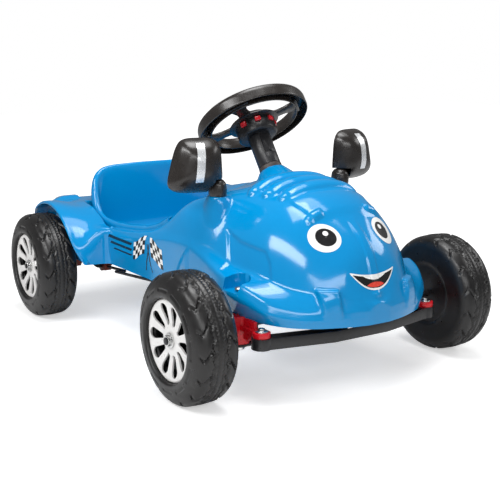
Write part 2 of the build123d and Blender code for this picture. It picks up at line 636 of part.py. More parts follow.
for name, (x, side, bore) in CORNERS.items():
    spin = Axis((x, side * TRACK_Y, AXLE_Z), (0, 1, 0))
    with BuildPart() as tyre:
        with BuildSketch(wheel_section(x, side)):
            with BuildLine():
                Polyline((bore, -HALF_W + 6), (56, -HALF_W + 6), (60, -HALF_W), (93, -HALF_W),
                         (105, -HALF_W + 5), (110, -HALF_W + 16), (TYRE_R, 0), (110, HALF_W - 16),
                         (105, HALF_W - 5), (93, HALF_W), (76, HALF_W), (RIM_R + 0.5, HALF_W - 6),
                         (RIM_R + 0.5, DISC_AT - 4), (64, DISC_AT - 4), (64, DISC_AT - 8),
                         (75, DISC_AT - 8), (88, HALF_W - WALL), (101, HALF_W - 9), (106, HALF_W - 18),
                         (107, 0), (106, -HALF_W + 18), (101, -HALF_W + 9), (88, -HALF_W + WALL),
                         (63, -HALF_W + WALL), (58, -HALF_W + 10), (HUB_R, -HALF_W + 10),
                         (HUB_R, DISC_AT - 4), (bore, DISC_AT - 4), close=True)
            make_face()
        revolve(axis=spin)
    finish(tyre, f"tyre_{name}")

    disc_back = (x, side * (TRACK_Y + DISC_AT - DISC_THICK), AXLE_Z)
    face = Plane(origin=disc_back, x_dir=(1, 0, 0), z_dir=(0, side, 0))
    shaft_r = STUB_R if x == FRONT_AXLE_X else AXLE_R
    with BuildPart() as disc:
        with BuildSketch(face):
            Circle(RIM_R)
            Circle(bore + 1, mode=Mode.SUBTRACT)
        extrude(amount=DISC_THICK)
        with BuildSketch(face):
            with PolarLocations(41, OPENINGS):
                SlotOverall(34, 12)
        extrude(amount=DISC_THICK, mode=Mode.SUBTRACT)
    finish(disc, f"wheel_disc_{name}")

    with BuildPart() as nut:
        with BuildSketch(face.offset(DISC_THICK + DISC_GAP)):
            Circle(13)
            Circle(shaft_r, mode=Mode.SUBTRACT)
        extrude(amount=WASHER_THICK)
        with BuildSketch(face.offset(DISC_THICK + DISC_GAP + WASHER_THICK)):
            RegularPolygon(9.5, 6)
            Circle(shaft_r, mode=Mode.SUBTRACT)
        extrude(amount=5)
    finish(nut, f"axle_nut_{name}")

# ---- cranked rear axle, its bearings, bushes and push rods ---------------------------------
CRANK = radians(CRANK_ANGLE)
CRANK_DIR = (cos(CRANK), 0, sin(CRANK))
WEB_RUN = 12.0
PIN_HALF = 15.0
AXLE_PLANE = Plane(origin=(REAR_AXLE_X, 0, AXLE_Z), x_dir=(0, 1, 0),
                   z_dir=(sin(CRANK), 0, -cos(CRANK)))
inner, outer = CRANK_PIN_Y - PIN_HALF, CRANK_PIN_Y + PIN_HALF
axle_points = [
    (-STUB_END, 0), (-outer - WEB_RUN, 0), (-outer, CRANK_THROW), (-inner, CRANK_THROW),
    (-inner + WEB_RUN, 0), (inner - WEB_RUN, 0), (inner, -CRANK_THROW), (outer, -CRANK_THROW),
    (outer + WEB_RUN, 0), (STUB_END, 0),
]
with BuildPart() as rear_axle:
    with BuildLine(AXLE_PLANE):
        axle_line = FilletPolyline(*axle_points, radius=6)
    with BuildSketch(Plane(origin=axle_line @ 0, z_dir=axle_line % 0)):
        Circle(AXLE_R)
    sweep(path=axle_line)
finish(rear_axle, "rear_axle")

with BuildPart() as axle_bearings:
    for side in SIDES.values():
        with BuildSketch(side_view(side * BEARING_Y)):
            with BuildLine():
                Polyline((REAR_AXLE_X - 19, BEARING_TOP), (REAR_AXLE_X + 19, BEARING_TOP),
                         (REAR_AXLE_X + 19, BEARING_TOP - 6), (REAR_AXLE_X + 13, BEARING_TOP - 6),
                         (REAR_AXLE_X + 13, AXLE_Z - 4), (REAR_AXLE_X + 6, AXLE_Z - 13),
                         (REAR_AXLE_X - 6, AXLE_Z - 13), (REAR_AXLE_X - 13, AXLE_Z - 4),
                         (REAR_AXLE_X - 13, BEARING_TOP - 6), (REAR_AXLE_X - 19, BEARING_TOP - 6), close=True)
            make_face()
            with Locations((REAR_AXLE_X, AXLE_Z)):
                Circle(AXLE_R + BORE_CLEARANCE, mode=Mode.SUBTRACT)
        extrude(amount=7, both=True)
finish(axle_bearings, "axle_bearings")

with BuildPart() as bearing_screws:
    spots = [(REAR_AXLE_X + end * 16, side * BEARING_Y) for side in SIDES.values() for end in (-1, 1)]
    with BuildSketch(Plane.XY.offset(BEARING_TOP - 9)):
        with Locations(*spots):
            Circle(3)
    extrude(amount=3)
finish(bearing_screws, "bearing_screws")

BUSH_R = 12.0
BUSH_REACH = 20.0             # from the crank pin to the bush's front face
ROD_FRONT = (PEDAL_PIVOT[0] - 2.0, 137.0)
JOG_X = -198.0
JOG = 21.0
EYE_R = 11.0                  # eye at the rod's front end
for name, side in SIDES.items():
    pin_x = REAR_AXLE_X - side * CRANK_THROW * cos(CRANK)
    pin_z = AXLE_Z - side * CRANK_THROW * sin(CRANK)
    with BuildPart() as crank_bush:
        with BuildSketch(side_view(side * CRANK_PIN_Y)):
            with Locations((pin_x, pin_z)):
                Circle(BUSH_R)
            with Locations((pin_x + BUSH_REACH, pin_z)):
                Rectangle(16, 16, align=(Align.MAX, Align.CENTER))
            with Locations((pin_x, pin_z)):
                Circle(AXLE_R + BORE_CLEARANCE, mode=Mode.SUBTRACT)
        extrude(amount=8, both=True)
    finish(crank_bush, f"crank_bush_{name}")

    start = (pin_x + BUSH_REACH, pin_z)
    rise = (ROD_FRONT[1] - start[1]) / (ROD_FRONT[0] - start[0])
    y_rod = side * CRANK_PIN_Y
    y_out = side * (CRANK_PIN_Y + JOG)
    jog_z = start[1] + rise * (JOG_X - start[0])
    with BuildPart() as push_rod:
        with BuildLine():
            rod_line = FilletPolyline(
                (start[0], y_rod, start[1]), (JOG_X + 6, y_rod, jog_z), (JOG_X - 6, y_out, jog_z),
                (ROD_FRONT[0] - EYE_R + 2, y_out, ROD_FRONT[1]), radius=4)
        with BuildSketch(Plane(origin=rod_line @ 0, z_dir=rod_line % 0)):
            Circle(ROD_R)
        sweep(path=rod_line)
        with BuildSketch(side_view(y_out)):
            with Locations(ROD_FRONT):
                Circle(EYE_R)
                Circle(EYE_R - 5, mode=Mode.SUBTRACT)
        extrude(amount=4, both=True)
    finish(push_rod, f"push_rod_{name}")

# ---- pedals, their pivot rod and brackets --------------------------------------------------
PEDAL_ARM_Y = 152.0
PEDAL_ARM_HALF = 5.0
BRACKET_Y = 172.0
BRACKET_HALF = 5.0
PAD_INNER = 78.0
PAD_OUTER = PEDAL_ARM_Y - PEDAL_ARM_HALF - 1
PAD_Z = 118.0
PAD_HIGH = 52.0
PAD_PIN_R = 5.0
with BuildPart() as pedal_shaft:
    with BuildSketch(side_view(0)):
        with Locations(PEDAL_PIVOT):
            Circle(PEDAL_PIVOT_R)
    extrude(amount=BRACKET_Y + BRACKET_HALF + 1, both=True)
finish(pedal_shaft, "pedal_shaft")

with BuildPart() as pedal_brackets:
    for side in SIDES.values():
        with BuildSketch(side_view(side * BRACKET_Y)):
            with Locations(PEDAL_PIVOT):
                RectangleRounded(34, 30, 6)
                Circle(PEDAL_PIVOT_R, mode=Mode.SUBTRACT)
        extrude(amount=BRACKET_HALF, both=True)
finish(pedal_brackets, "pedal_brackets")

for name, side in SIDES.items():
    px, pz = PEDAL_PIVOT
    with BuildPart() as pedal_arm:
        with BuildSketch(side_view(side * PEDAL_ARM_Y)):
            with BuildLine():
                Polyline((px - 9, pz + 6), (px + 9, pz + 6), (px + 7, 104), (px - 7, 104), close=True)
            make_face()
            with Locations(PEDAL_PIVOT):
                Circle(12)
            with Locations(PEDAL_PIVOT):
                Circle(PEDAL_PIVOT_R + BORE_CLEARANCE, mode=Mode.SUBTRACT)
        extrude(amount=PEDAL_ARM_HALF, both=True)
        with BuildSketch(side_view(side * (PEDAL_ARM_Y - PEDAL_ARM_HALF))):
            with Locations((px, PAD_Z)):
                Circle(PAD_PIN_R)
        extrude(amount=side * (PEDAL_ARM_Y - PEDAL_ARM_HALF - PAD_INNER - 2))
    finish(pedal_arm, f"pedal_arm_{name}")

    with BuildPart() as pedal_pad:
        with BuildSketch(Plane.YZ.offset(px)):
            with Locations((side * (PAD_INNER + PAD_OUTER) / 2, PAD_Z)):
                RectangleRounded(PAD_OUTER - PAD_INNER, PAD_HIGH, 8)
        extrude(amount=10, both=True)
        with BuildSketch(side_view(side * (PEDAL_ARM_Y - PEDAL_ARM_HALF))):
            with Locations((px, PAD_Z)):
                Circle(PAD_PIN_R)
        extrude(amount=side * (PEDAL_ARM_Y - PEDAL_ARM_HALF - PAD_INNER - 2), mode=Mode.SUBTRACT)
    finish(pedal_pad, f"pedal_pad_{name}")

# ---- mirrors: arm on the cowl, swivelling housing, glass ------------------------------------
MIRROR_YAW = 12.0
MIRROR_W = 98.0
MIRROR_H = 97.0
MIRROR_DEEP = 38.0
MIRROR_MID = (147.0, 170.0, 368.5)
PIVOT = (167.0, 134.0)
PIVOT_BOSS_R = 8.0
ARM_SPLIT = 345.0
PIN_R = 4.0
PIN_LONG = 18.0
ARM_FOOT = 303.0              # the arm's root, just under the cowl's skin
NOTCH_R = 24.0                # room in the housing for the arm
for name, side in SIDES.items():
    yaw = radians(MIRROR_YAW)
    back = Plane(origin=(MIRROR_MID[0], side * MIRROR_MID[1], MIRROR_MID[2]),
                 x_dir=(-sin(yaw) * side, cos(yaw), 0), z_dir=(cos(yaw), side * sin(yaw), 0))
    with BuildPart() as mirror_arm:
        with BuildSketch(Plane.XY.offset(ARM_FOOT)):
            with Locations((PIVOT[0], side * PIVOT[1])):
                Ellipse(15, 12)
        with BuildSketch(Plane.XY.offset(ARM_SPLIT - 0.4)):
            with Locations((PIVOT[0], side * PIVOT[1])):
                Ellipse(11, 9)
        loft()
        with BuildSketch(Plane.XY.offset(ARM_SPLIT - 1)):
            with Locations((PIVOT[0], side * PIVOT[1])):
                Circle(PIN_R)
        extrude(amount=PIN_LONG)
    finish(mirror_arm, f"mirror_arm_{name}")

    with BuildPart() as mirror_housing:
        with BuildSketch(back):
            RectangleRounded(MIRROR_W, MIRROR_H, 24)
        with BuildSketch(back.offset(MIRROR_DEEP * 0.6)):
            RectangleRounded(MIRROR_W - 12, MIRROR_H - 12, 24)
        with BuildSketch(back.offset(MIRROR_DEEP)):
            RectangleRounded(MIRROR_W - 44, MIRROR_H - 40, 20)
        loft(ruled=True)
        # notch over the arm, so the housing can swing
        with BuildSketch(Plane.XY.offset(ARM_FOOT)):
            with Locations((PIVOT[0], side * PIVOT[1])):
                Circle(NOTCH_R)
        extrude(amount=ARM_SPLIT - ARM_FOOT, mode=Mode.SUBTRACT)
        with BuildSketch(Plane.XY.offset(ARM_SPLIT)):
            with Locations((PIVOT[0], side * PIVOT[1])):
                Circle(PIVOT_BOSS_R)
        extrude(amount=PIN_LONG + 4)
        with BuildSketch(back):
            RectangleRounded(MIRROR_W - 7, MIRROR_H - 7, 21)
        extrude(amount=4, mode=Mode.SUBTRACT)
        with BuildSketch(Plane.XY.offset(ARM_SPLIT)):
            with Locations((PIVOT[0], side * PIVOT[1])):
                Circle(PIN_R + BORE_CLEARANCE)
        extrude(amount=PIN_LONG + 1, mode=Mode.SUBTRACT)
    finish(mirror_housing, f"mirror_housing_{name}")

    with BuildPart() as mirror_glass:
        with BuildSketch(back.offset(0.5)):
            RectangleRounded(MIRROR_W - 8, MIRROR_H - 8, 20.5)
        extrude(amount=3)
        with BuildSketch(Plane.XY.offset(ARM_FOOT)):
            with Locations((PIVOT[0], side * PIVOT[1])):
                Circle(NOTCH_R + 1)
        extrude(amount=ARM_SPLIT - ARM_FOOT, mode=Mode.SUBTRACT)
    finish(mirror_glass, f"mirror_glass_{name}")

# ---- screws through the seat's back into the deck's cross member ------------------------------
SCREW_FACE = SEAT_BACK_X - 2.2
with BuildPart() as seat_screws:
    with BuildSketch(across(SCREW_FACE)):
        with Locations((-110, 200), (110, 200)):
            Circle(5)
    extrude(amount=2)
finish(seat_screws, "seat_screws")
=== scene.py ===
"""Pedal go kart: the visual model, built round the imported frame.

Shapes are worked out in millimetres; lights and camera are in metres.
+X is forward, +Y the kart's left, +Z up, and the floor is z = 0.
"""
import json
from math import cos, pi, radians, sin, tau

import bmesh
import bpy
import numpy as np
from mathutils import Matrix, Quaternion, Vector
from mathutils.bvhtree import BVHTree

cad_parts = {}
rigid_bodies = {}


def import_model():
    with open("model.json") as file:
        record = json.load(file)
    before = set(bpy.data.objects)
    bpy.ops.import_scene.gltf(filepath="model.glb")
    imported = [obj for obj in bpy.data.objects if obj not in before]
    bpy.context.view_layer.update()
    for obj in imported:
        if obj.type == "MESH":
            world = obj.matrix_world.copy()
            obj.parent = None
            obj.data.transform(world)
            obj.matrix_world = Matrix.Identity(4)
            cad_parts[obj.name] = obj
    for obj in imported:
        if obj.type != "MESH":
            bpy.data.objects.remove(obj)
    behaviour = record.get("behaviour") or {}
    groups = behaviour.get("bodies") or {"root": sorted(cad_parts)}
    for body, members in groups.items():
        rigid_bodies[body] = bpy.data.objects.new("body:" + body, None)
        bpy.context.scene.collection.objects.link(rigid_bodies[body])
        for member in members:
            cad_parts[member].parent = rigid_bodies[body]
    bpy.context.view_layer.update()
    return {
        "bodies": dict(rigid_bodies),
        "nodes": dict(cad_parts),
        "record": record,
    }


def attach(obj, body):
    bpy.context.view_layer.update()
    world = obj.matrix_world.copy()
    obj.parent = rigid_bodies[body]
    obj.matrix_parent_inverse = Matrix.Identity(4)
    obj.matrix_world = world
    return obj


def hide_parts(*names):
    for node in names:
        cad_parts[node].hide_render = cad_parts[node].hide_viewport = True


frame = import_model()

MM = 0.001
SIDES = {"left": 1, "right": -1}
FRONT_AXLE_X = 302.5
REAR_AXLE_X = -327.5
AXLE_Z = 111.0
TRACK_Y = 281.0
STEER_TILT = radians(53.9)
STEER_CENTRE = np.array([66.5, 0.0, 436.5])
STEER_UP = np.array([-cos(STEER_TILT), 0.0, sin(STEER_TILT)])
STEER_FORWARD = np.array([sin(STEER_TILT), 0.0, cos(STEER_TILT)])
LEFT = np.array([0.0, 1.0, 0.0])


# ---- materials ----
PATCH_RANGE = (0.3, 0.7)
GLOSS_SPREAD = (0.8, 1.25)
COAT_ROUGHNESS = 0.04
GRAIN_DEPTH = 0.0006
SCRATCH_DEPTH = 0.0003
SCRATCH_SCALE = 260
SCRATCH_STRETCH = (1, 1, 14)


def add_node(owner, kind, **values):
    """A new node of a material or world with some inputs set; _ in an input's name is a space."""
    node = owner.node_tree.nodes.new(f"ShaderNode{kind}")
    for name, value in values.items():
        node.inputs[name.replace("_", " ")].default_value = value
    return node


def noise(look, scale, detail, stretch=None):
    """Noise over the object's own coordinates, stretched if asked."""
    links = look.node_tree.links
    place = add_node(look, "TexCoord").outputs["Object"]
    if stretch:
        mapping = add_node(look, "Mapping", Scale=stretch)
        links.new(place, mapping.inputs["Vector"])
        place = mapping.outputs["Vector"]
    made = add_node(look, "TexNoise", Scale=scale, Detail=detail)
    links.new(place, made.inputs["Vector"])
    return made.outputs["Fac"]


def bump(look, height, strength, depth, under=None):
    """Relief from a height, on top of another relief if there is one."""
    links = look.node_tree.links
    made = add_node(look, "Bump", Strength=strength, Distance=depth)
    links.new(height, made.inputs["Height"])
    if under:
        links.new(under, made.inputs["Normal"])
    return made.outputs["Normal"]


def material(name, dark, light, rough, patches=5.0, grain=900.0, relief=0.05, metallic=0.0, coat=0.0,
             scratches=0.0):
    """A surface with patchy colour and gloss, a fine grain in relief, and optional hairline scratches."""
    made = bpy.data.materials.new(name)
    made.use_nodes = True
    links = made.node_tree.links
    shader = made.node_tree.nodes["Principled BSDF"]
    shader.inputs["Metallic"].default_value = metallic
    shader.inputs["Coat Weight"].default_value = coat
    shader.inputs["Coat Roughness"].default_value = COAT_ROUGHNESS

    ramp = add_node(made, "ValToRGB")
    for stop, position, colour in zip(ramp.color_ramp.elements, PATCH_RANGE, (dark, light)):
        stop.position = position
        stop.color = (*colour, 1)
    links.new(noise(made, patches, 3), ramp.inputs["Fac"])
    links.new(ramp.outputs["Color"], shader.inputs["Base Color"])

    gloss = add_node(made, "MapRange", From_Min=PATCH_RANGE[0], From_Max=PATCH_RANGE[1],
                     To_Min=rough * GLOSS_SPREAD[0], To_Max=rough * GLOSS_SPREAD[1])
    links.new(noise(made, patches * 6, 4), gloss.inputs["Value"])
    links.new(gloss.outputs["Result"], shader.inputs["Roughness"])

    normal = bump(made, noise(made, grain, 2), relief, GRAIN_DEPTH)
    if scratches:
        scratch = noise(made, SCRATCH_SCALE, 2, SCRATCH_STRETCH)
        normal = bump(made, scratch, scratches, SCRATCH_DEPTH, normal)
    links.new(normal, shader.inputs["Normal"])
    return made


# Per look: name, darker and lighter colour, roughness, and what differs from material()'s defaults.
LOOKS = {name: material(name, *basics, **extras) for name, *basics, extras in (
    ("blue_body", (0.0, 0.228, 0.53), (0.0, 0.252, 0.575), 0.12,
     dict(patches=3, grain=120, relief=0.02, coat=0.12)),
    ("black_tyre", (0.006, 0.006, 0.0065), (0.012, 0.011, 0.011), 0.33,
     dict(patches=14, grain=1100, relief=0.10)),
    ("silver_disc", (0.74, 0.73, 0.72), (0.84, 0.83, 0.82), 0.32,
     dict(patches=20, grain=1500, relief=0.04, metallic=0.15)),
    ("black_plastic", (0.009, 0.009, 0.010), (0.016, 0.016, 0.018), 0.34,
     dict(patches=18, grain=1600, relief=0.16)),
    ("black_gloss", (0.012, 0.010, 0.009), (0.024, 0.020, 0.018), 0.27,
     dict(patches=9, grain=500, relief=0.03, coat=0.08)),
    ("red_knuckle", (0.52, 0.004, 0.012), (0.68, 0.008, 0.016), 0.28,
     dict(patches=25, grain=1300, relief=0.08)),
    ("red_button", (0.56, 0.012, 0.022), (0.68, 0.02, 0.03), 0.22,
     dict(patches=40, grain=1500, relief=0.05, coat=0.3)),
    ("brown_bush", (0.16, 0.022, 0.010), (0.24, 0.035, 0.016), 0.42,
     dict(patches=30, grain=1500, relief=0.1)),
    ("grey_collar", (0.040, 0.031, 0.028), (0.060, 0.048, 0.043), 0.45,
     dict(patches=30, grain=1500, relief=0.1)),
    ("steel_rod", (0.018, 0.018, 0.020), (0.034, 0.034, 0.037), 0.34,
     dict(patches=40, grain=900, relief=0.06, metallic=0.6, scratches=0.05)),
    ("bright_steel", (0.55, 0.55, 0.55), (0.72, 0.72, 0.71), 0.20,
     dict(patches=60, grain=1500, relief=0.04, metallic=1.0, scratches=0.08)),
    ("black_beam", (0.010, 0.010, 0.011), (0.018, 0.018, 0.019), 0.42,
     dict(patches=20, grain=2200, relief=0.12)),
    ("mirror_film", (0.78, 0.80, 0.82), (0.86, 0.87, 0.88), 0.05,
     dict(patches=8, grain=60, relief=0.01, metallic=1.0)),
    ("pedal_grey", (0.022, 0.022, 0.024), (0.034, 0.034, 0.037), 0.5,
     dict(patches=25, grain=1500, relief=0.15)),
    ("decal_white", (0.80, 0.80, 0.79), (0.88, 0.88, 0.87), 0.22,
     dict(patches=20, grain=700, relief=0.02)),
    ("decal_black", (0.006, 0.006, 0.007), (0.012, 0.012, 0.013), 0.22,
     dict(patches=20, grain=700, relief=0.02)),
    ("decal_red", (0.62, 0.045, 0.03), (0.75, 0.07, 0.045), 0.25,
     dict(patches=30, grain=700, relief=0.02)),
    ("silver_strip", (0.70, 0.72, 0.74), (0.86, 0.87, 0.88), 0.24,
     dict(patches=30, grain=1500, relief=0.04, metallic=0.5)),
)}


# ---- mesh helpers ----
def smoothstep(value, low, high):
    """0 below low, 1 above high, and a smooth rise between them."""
    t = np.clip((np.asarray(value, float) - low) / (high - low), 0, 1)
    return t * t * (3 - 2 * t)


def band(value, rise, fall):
    """1 between two smooth steps: up over the range rise, down over the range fall."""
    return smoothstep(value, *rise) * (1 - smoothstep(value, *fall))


def grid(rows, columns, wrap_rows=False, wrap_columns=False):
    """Quads of a grid of points, listed row after row."""
    r, c = np.meshgrid(np.arange(rows if wrap_rows else rows - 1),
                       np.arange(columns if wrap_columns else columns - 1), indexing="ij")
    this, after = r * columns, (r + 1) % rows * columns
    c_after = (c + 1) % columns
    return np.stack([this + c, this + c_after, after + c_after, after + c], -1).reshape(-1, 4)


def spline(knots, values, at):
    """Natural cubic spline through values at knots, read at each of at."""
    count, step = len(knots), np.diff(knots)
    flat = values.reshape(count, -1)
    system, right = np.eye(count), np.zeros_like(flat)
    slopes = np.diff(flat, axis=0) / step[:, None]
    for i in range(1, count - 1):
        system[i, i - 1:i + 2] = step[i - 1], 2 * (step[i - 1] + step[i]), step[i]
        right[i] = 6 * (slopes[i] - slopes[i - 1])
    bend = np.linalg.solve(system, right)
    k = np.clip(np.searchsorted(knots, at) - 1, 0, count - 2)
    t, h = (at - knots[k])[:, None], step[k][:, None]
    read = flat[k] + t * (slopes[k] - h * (2 * bend[k] + bend[k + 1]) / 6)
    read += t ** 2 * bend[k] / 2 + t ** 3 * (bend[k + 1] - bend[k]) / (6 * h)
    return read.reshape(len(at), *values.shape[1:])


def softened(points, passes, closed=False):
    """Round the corners of a dense line of points (last axis but one) by averaging neighbours."""
    line = np.array(points, float)
    for _ in range(passes):
        if closed:
            line = (np.roll(line, 1, -2) + 2 * line + np.roll(line, -1, -2)) / 4
        else:
            line[..., 1:-1, :] = (line[..., :-2, :] + 2 * line[..., 1:-1, :] + line[..., 2:, :]) / 4
    return line


def lengths(line):
    """How far each point of a line is from its start, along the line."""
    return np.concatenate([[0], np.cumsum(np.linalg.norm(np.diff(line, axis=0), axis=1))])


def dense(corners, spacing, passes, closed=False):
    """A polyline through corners, divided evenly and then rounded."""
    corners = np.array(corners, float)
    if closed:
        corners = np.vstack([corners, corners[:1]])
    reach = lengths(corners)
    count = max(3, int(round(reach[-1] / spacing)) + 1)
    at = np.linspace(0, reach[-1], count)
    line = np.stack([np.interp(at, reach, corners[:, i]) for i in range(corners.shape[1])], -1)
    return softened(line[:-1] if closed else line, passes, closed)


def body_of(node):
    """Name of the body that carries a CAD node."""
    parent = frame["nodes"][node].parent
    return next(name for name, empty in frame["bodies"].items() if empty == parent)


def make(name, points, faces, look, node=None, body=None, cut=None, **finish):
    """A piece from points in millimetres, which stands for a CAD node or only rides on a body."""
    mesh = bpy.data.meshes.new(name)
    mesh.from_pydata((np.asarray(points, float).reshape(-1, 3) * MM).tolist(), [],
                     [[int(i) for i in face] for face in faces])
    weld(mesh)
    if cut:
        cut_away(mesh, cut)
    return dress(mesh, look, node, body, **finish)


def dress(mesh, look, node=None, body=None, wall=0.0, edge=0.0, sharp=42):
    """Turn a mesh into a finished piece: thickness, rounded edges, shading, material, body."""
    obj = bpy.data.objects.new(mesh.name, mesh)
    bpy.context.scene.collection.objects.link(obj)
    if wall:
        thick = obj.modifiers.new("wall", "SOLIDIFY")
        thick.thickness = wall * MM
        thick.offset = -1
    if edge:
        bevel = obj.modifiers.new("edge", "BEVEL")
        bevel.width = edge * MM
        bevel.segments = 2
        bevel.limit_method = "ANGLE"
        bevel.angle_limit = radians(30)
    if obj.modifiers:
        bpy.context.view_layer.update()
        done = bpy.data.meshes.new_from_object(obj.evaluated_get(bpy.context.evaluated_depsgraph_get()))
        obj.modifiers.clear()
        obj.data = done
    obj.data.shade_smooth()
    obj.data.set_sharp_from_angle(angle=radians(sharp))
    obj.data.materials.clear()
    obj.data.materials.append(LOOKS[look])
    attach(obj, body or body_of(node))
    if node:
        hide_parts(node)
    return obj


CUT_SNAP = 0.05


def cut_away(mesh, distance):
    """Cut a mesh along distance(points in mm) == 0 and drop the side below zero."""
    work = bmesh.new()
    work.from_mesh(mesh)
    work.verts.index_update()
    reach = distance(np.array([v.co for v in work.verts]) / MM)
    reach = np.where(np.abs(reach) < CUT_SNAP, CUT_SNAP, reach)
    kept = {v: reach[v.index] for v in work.verts}
    fresh = []
    for line in list(work.edges):
        a, b = kept[line.verts[0]], kept[line.verts[1]]
        if a * b < 0:
            fresh.append(bmesh.utils.edge_split(line, line.verts[0], a / (a - b))[1])
    bmesh.ops.connect_verts(work, verts=fresh)
    lost = [f for f in work.faces if any(kept.get(v, 0) < 0 for v in f.verts)]
    bmesh.ops.delete(work, geom=lost, context="FACES")
    bmesh.ops.remove_doubles(work, verts=work.verts, dist=CUT_SNAP * MM)
    work.to_mesh(mesh)
    work.free()


def weld(mesh, gap=0.02):
    """Join points that coincide, and turn all faces outwards."""
    work = bmesh.new()
    work.from_mesh(mesh)
    bmesh.ops.remove_doubles(work, verts=work.verts, dist=gap * MM)
    bmesh.ops.dissolve_degenerate(work, dist=0.002 * MM, edges=work.edges)
    bmesh.ops.recalc_face_normals(work, faces=work.faces)
    work.to_mesh(mesh)
    work.free()


def turned(line, centre, axis, segments):
    """Points of a line of (radius, height) turned round an axis; line may differ per angle."""
    axis = Vector(axis).normalized()
    side = axis.orthogonal().normalized()
    other = axis.cross(side)
    turn = np.linspace(0, tau, segments, endpoint=False)
    ring = np.cos(turn)[:, None] * np.array(side) + np.sin(turn)[:, None] * np.array(other)
    line = np.broadcast_to(line, (segments, *line.shape[-2:]))
    return np.array(centre, float) + ring[:, None, :] * line[..., :1] + line[..., 1:] * np.array(axis)


def lathe(name, profile, centre, axis, look, node, segments=96, spacing=1.5):
    """Turn a profile of (radius, height) corners round an axis."""
    line = dense(profile, spacing, 1)
    points = turned(line, centre, axis, segments)
    return make(name, points, grid(segments, len(line), wrap_rows=True), look, node)


def plate(name, outline, origin, across, along, low, high, look, node, edge):
    """A flat plate: an outline in the plane of across and along, from low to high on their normal."""
    across, along = np.array(across, float), np.array(along, float)
    up = np.cross(across, along)
    flat = np.array([np.array(origin) + u * across + v * along for u, v in outline])
    count = len(flat)
    points = np.vstack([flat + low * up, flat + high * up])
    faces = [list(range(count))[::-1], list(range(count, 2 * count))]
    faces += [[i, (i + 1) % count, count + (i + 1) % count, count + i] for i in range(count)]
    return make(name, points, faces, look, node, edge=edge)


SLOT_OF = {p["node"]: p["material_slot"] for p in frame["record"]["subparts"]}


def soften(node, width):
    """A copy of a CAD node with its edges rounded, which stands for the node."""
    mesh = frame["nodes"][node].data.copy()
    mesh.name = f"{node}_soft"
    work = bmesh.new()
    work.from_mesh(mesh)
    bmesh.ops.remove_doubles(work, verts=work.verts, dist=0.01 * MM)
    bmesh.ops.dissolve_limit(work, angle_limit=radians(1), verts=work.verts, edges=work.edges)
    work.to_mesh(mesh)
    work.free()
    return dress(mesh, SLOT_OF[node], node, edge=width, sharp=35)


def to_outline(points, corners):
    """Signed distance from 2-D points to a closed outline, negative inside."""
    corners = np.array(corners, float)
    nearest = np.full(points.shape[:-1], 1e9)
    inside = np.zeros(points.shape[:-1], bool)
    for a, b in zip(corners, np.roll(corners, -1, 0)):
        run = b - a
        t = np.clip(((points - a) @ run) / (run @ run), 0, 1)
        nearest = np.minimum(nearest, np.linalg.norm(points - a - t[..., None] * run, axis=-1))
        crosses = (a[1] > points[..., 1]) != (b[1] > points[..., 1])
        rise = np.where(abs(run[1]) > 1e-9, run[1], 1e-9)
        inside ^= crosses & (points[..., 0] < a[0] + run[0] * (points[..., 1] - a[1]) / rise)
    return np.where(inside, -nearest, nearest)


# ---- front body ----
# Half sections: x, then top middle, crown, mid side, valley, shelf edge, crest, bottom edge.
BODY_SECTIONS = (
    (-190.0, (0, 207), (100, 206), (165, 204), (186, 201), (191, 190), (191, 160), (187, 127)),
    (-140.0, (0, 212), (100, 211), (165, 209), (186, 205), (192, 194), (192, 160), (187, 128)),
    (-58.0, (0, 222), (100, 221), (166, 219), (186, 215), (192, 203), (192, 160), (187, 129)),
    (-9.0, (0, 235), (100, 234), (166, 232), (185, 223), (192, 210), (192, 160), (187, 130)),
    (37.0, (0, 257), (100, 256), (166, 254), (185, 231), (191, 218), (191, 160), (186, 130)),
    (90.0, (0, 318), (88, 308), (164, 284), (184, 236), (189, 222), (189, 160), (185, 130)),
    (145.0, (0, 328), (88, 319), (146, 302), (180, 236), (188, 222), (188, 160), (184, 130)),
    (200.0, (0, 337), (76, 328), (128, 288), (168, 222), (186, 209), (188, 165), (183, 130)),
    (250.0, (0, 333), (72, 324), (126, 279), (162, 207), (190, 198), (195, 168), (182, 130)),
    (300.0, (0, 328), (68, 318), (122, 270), (154, 201), (190, 193), (199, 168), (181, 130)),
    (350.0, (0, 305), (66, 292), (114, 246), (140, 190), (178, 179), (188, 160), (170, 129)),
    (378.0, (0, 283), (62, 267), (104, 226), (124, 184), (160, 163), (168, 147), (156, 128)),
    (400.0, (0, 264), (56, 247), (88, 214), (106, 181), (136, 156), (143, 142), (137, 127)),
    (420.0, (0, 240), (46, 228), (70, 204), (86, 178), (112, 153), (118, 140), (112, 127)),
    (436.0, (0, 198), (32, 195), (48, 185), (58, 172), (76, 153), (82, 140), (78, 127)),
    (446.0, (0, 171), (18, 170), (28, 168), (36, 163), (48, 153), (52, 140), (50, 127)),
    (452.3, (0, 162), (7, 161), (11, 160), (15, 157), (20, 150), (22, 140), (21, 127)),
)
CROWN_COLUMNS = 145
FLANK_COLUMNS = ((3, 12), (4, 10), (5, 12))
BODY_ROWS = 250
NOSE_LIMIT = 452.4
OPENING = [(-260, 161), (70, 161), (122, 140), (140, 112), (130, 80), (112, 40), (100, 0)]
OPENING = OPENING + [(x, -y) for x, y in reversed(OPENING) if y]
OPENING_ROLL = 7
HOOD_Z = 235
RIBS = ((205, 87), (240, 80), (278, 72))
RIB_REACH = 17
RIB_LOW, RIB_SWELL, RIB_SPAN = 5, 10, 90
KNOB_RADIUS, KNOB_HEIGHT = 11, 7
SIDE_PANEL = [(205, 262), (248, 248), (303, 241), (314, 240), (330, 222), (343, 194), (300, 190),
              (245, 200), (212, 255)]
SIDE_PANEL_DEPTH = 2.5
FLARE = [(146.5, 227.5), (100.6, 169), (146, 178)]
FLARE_HEIGHT = 4
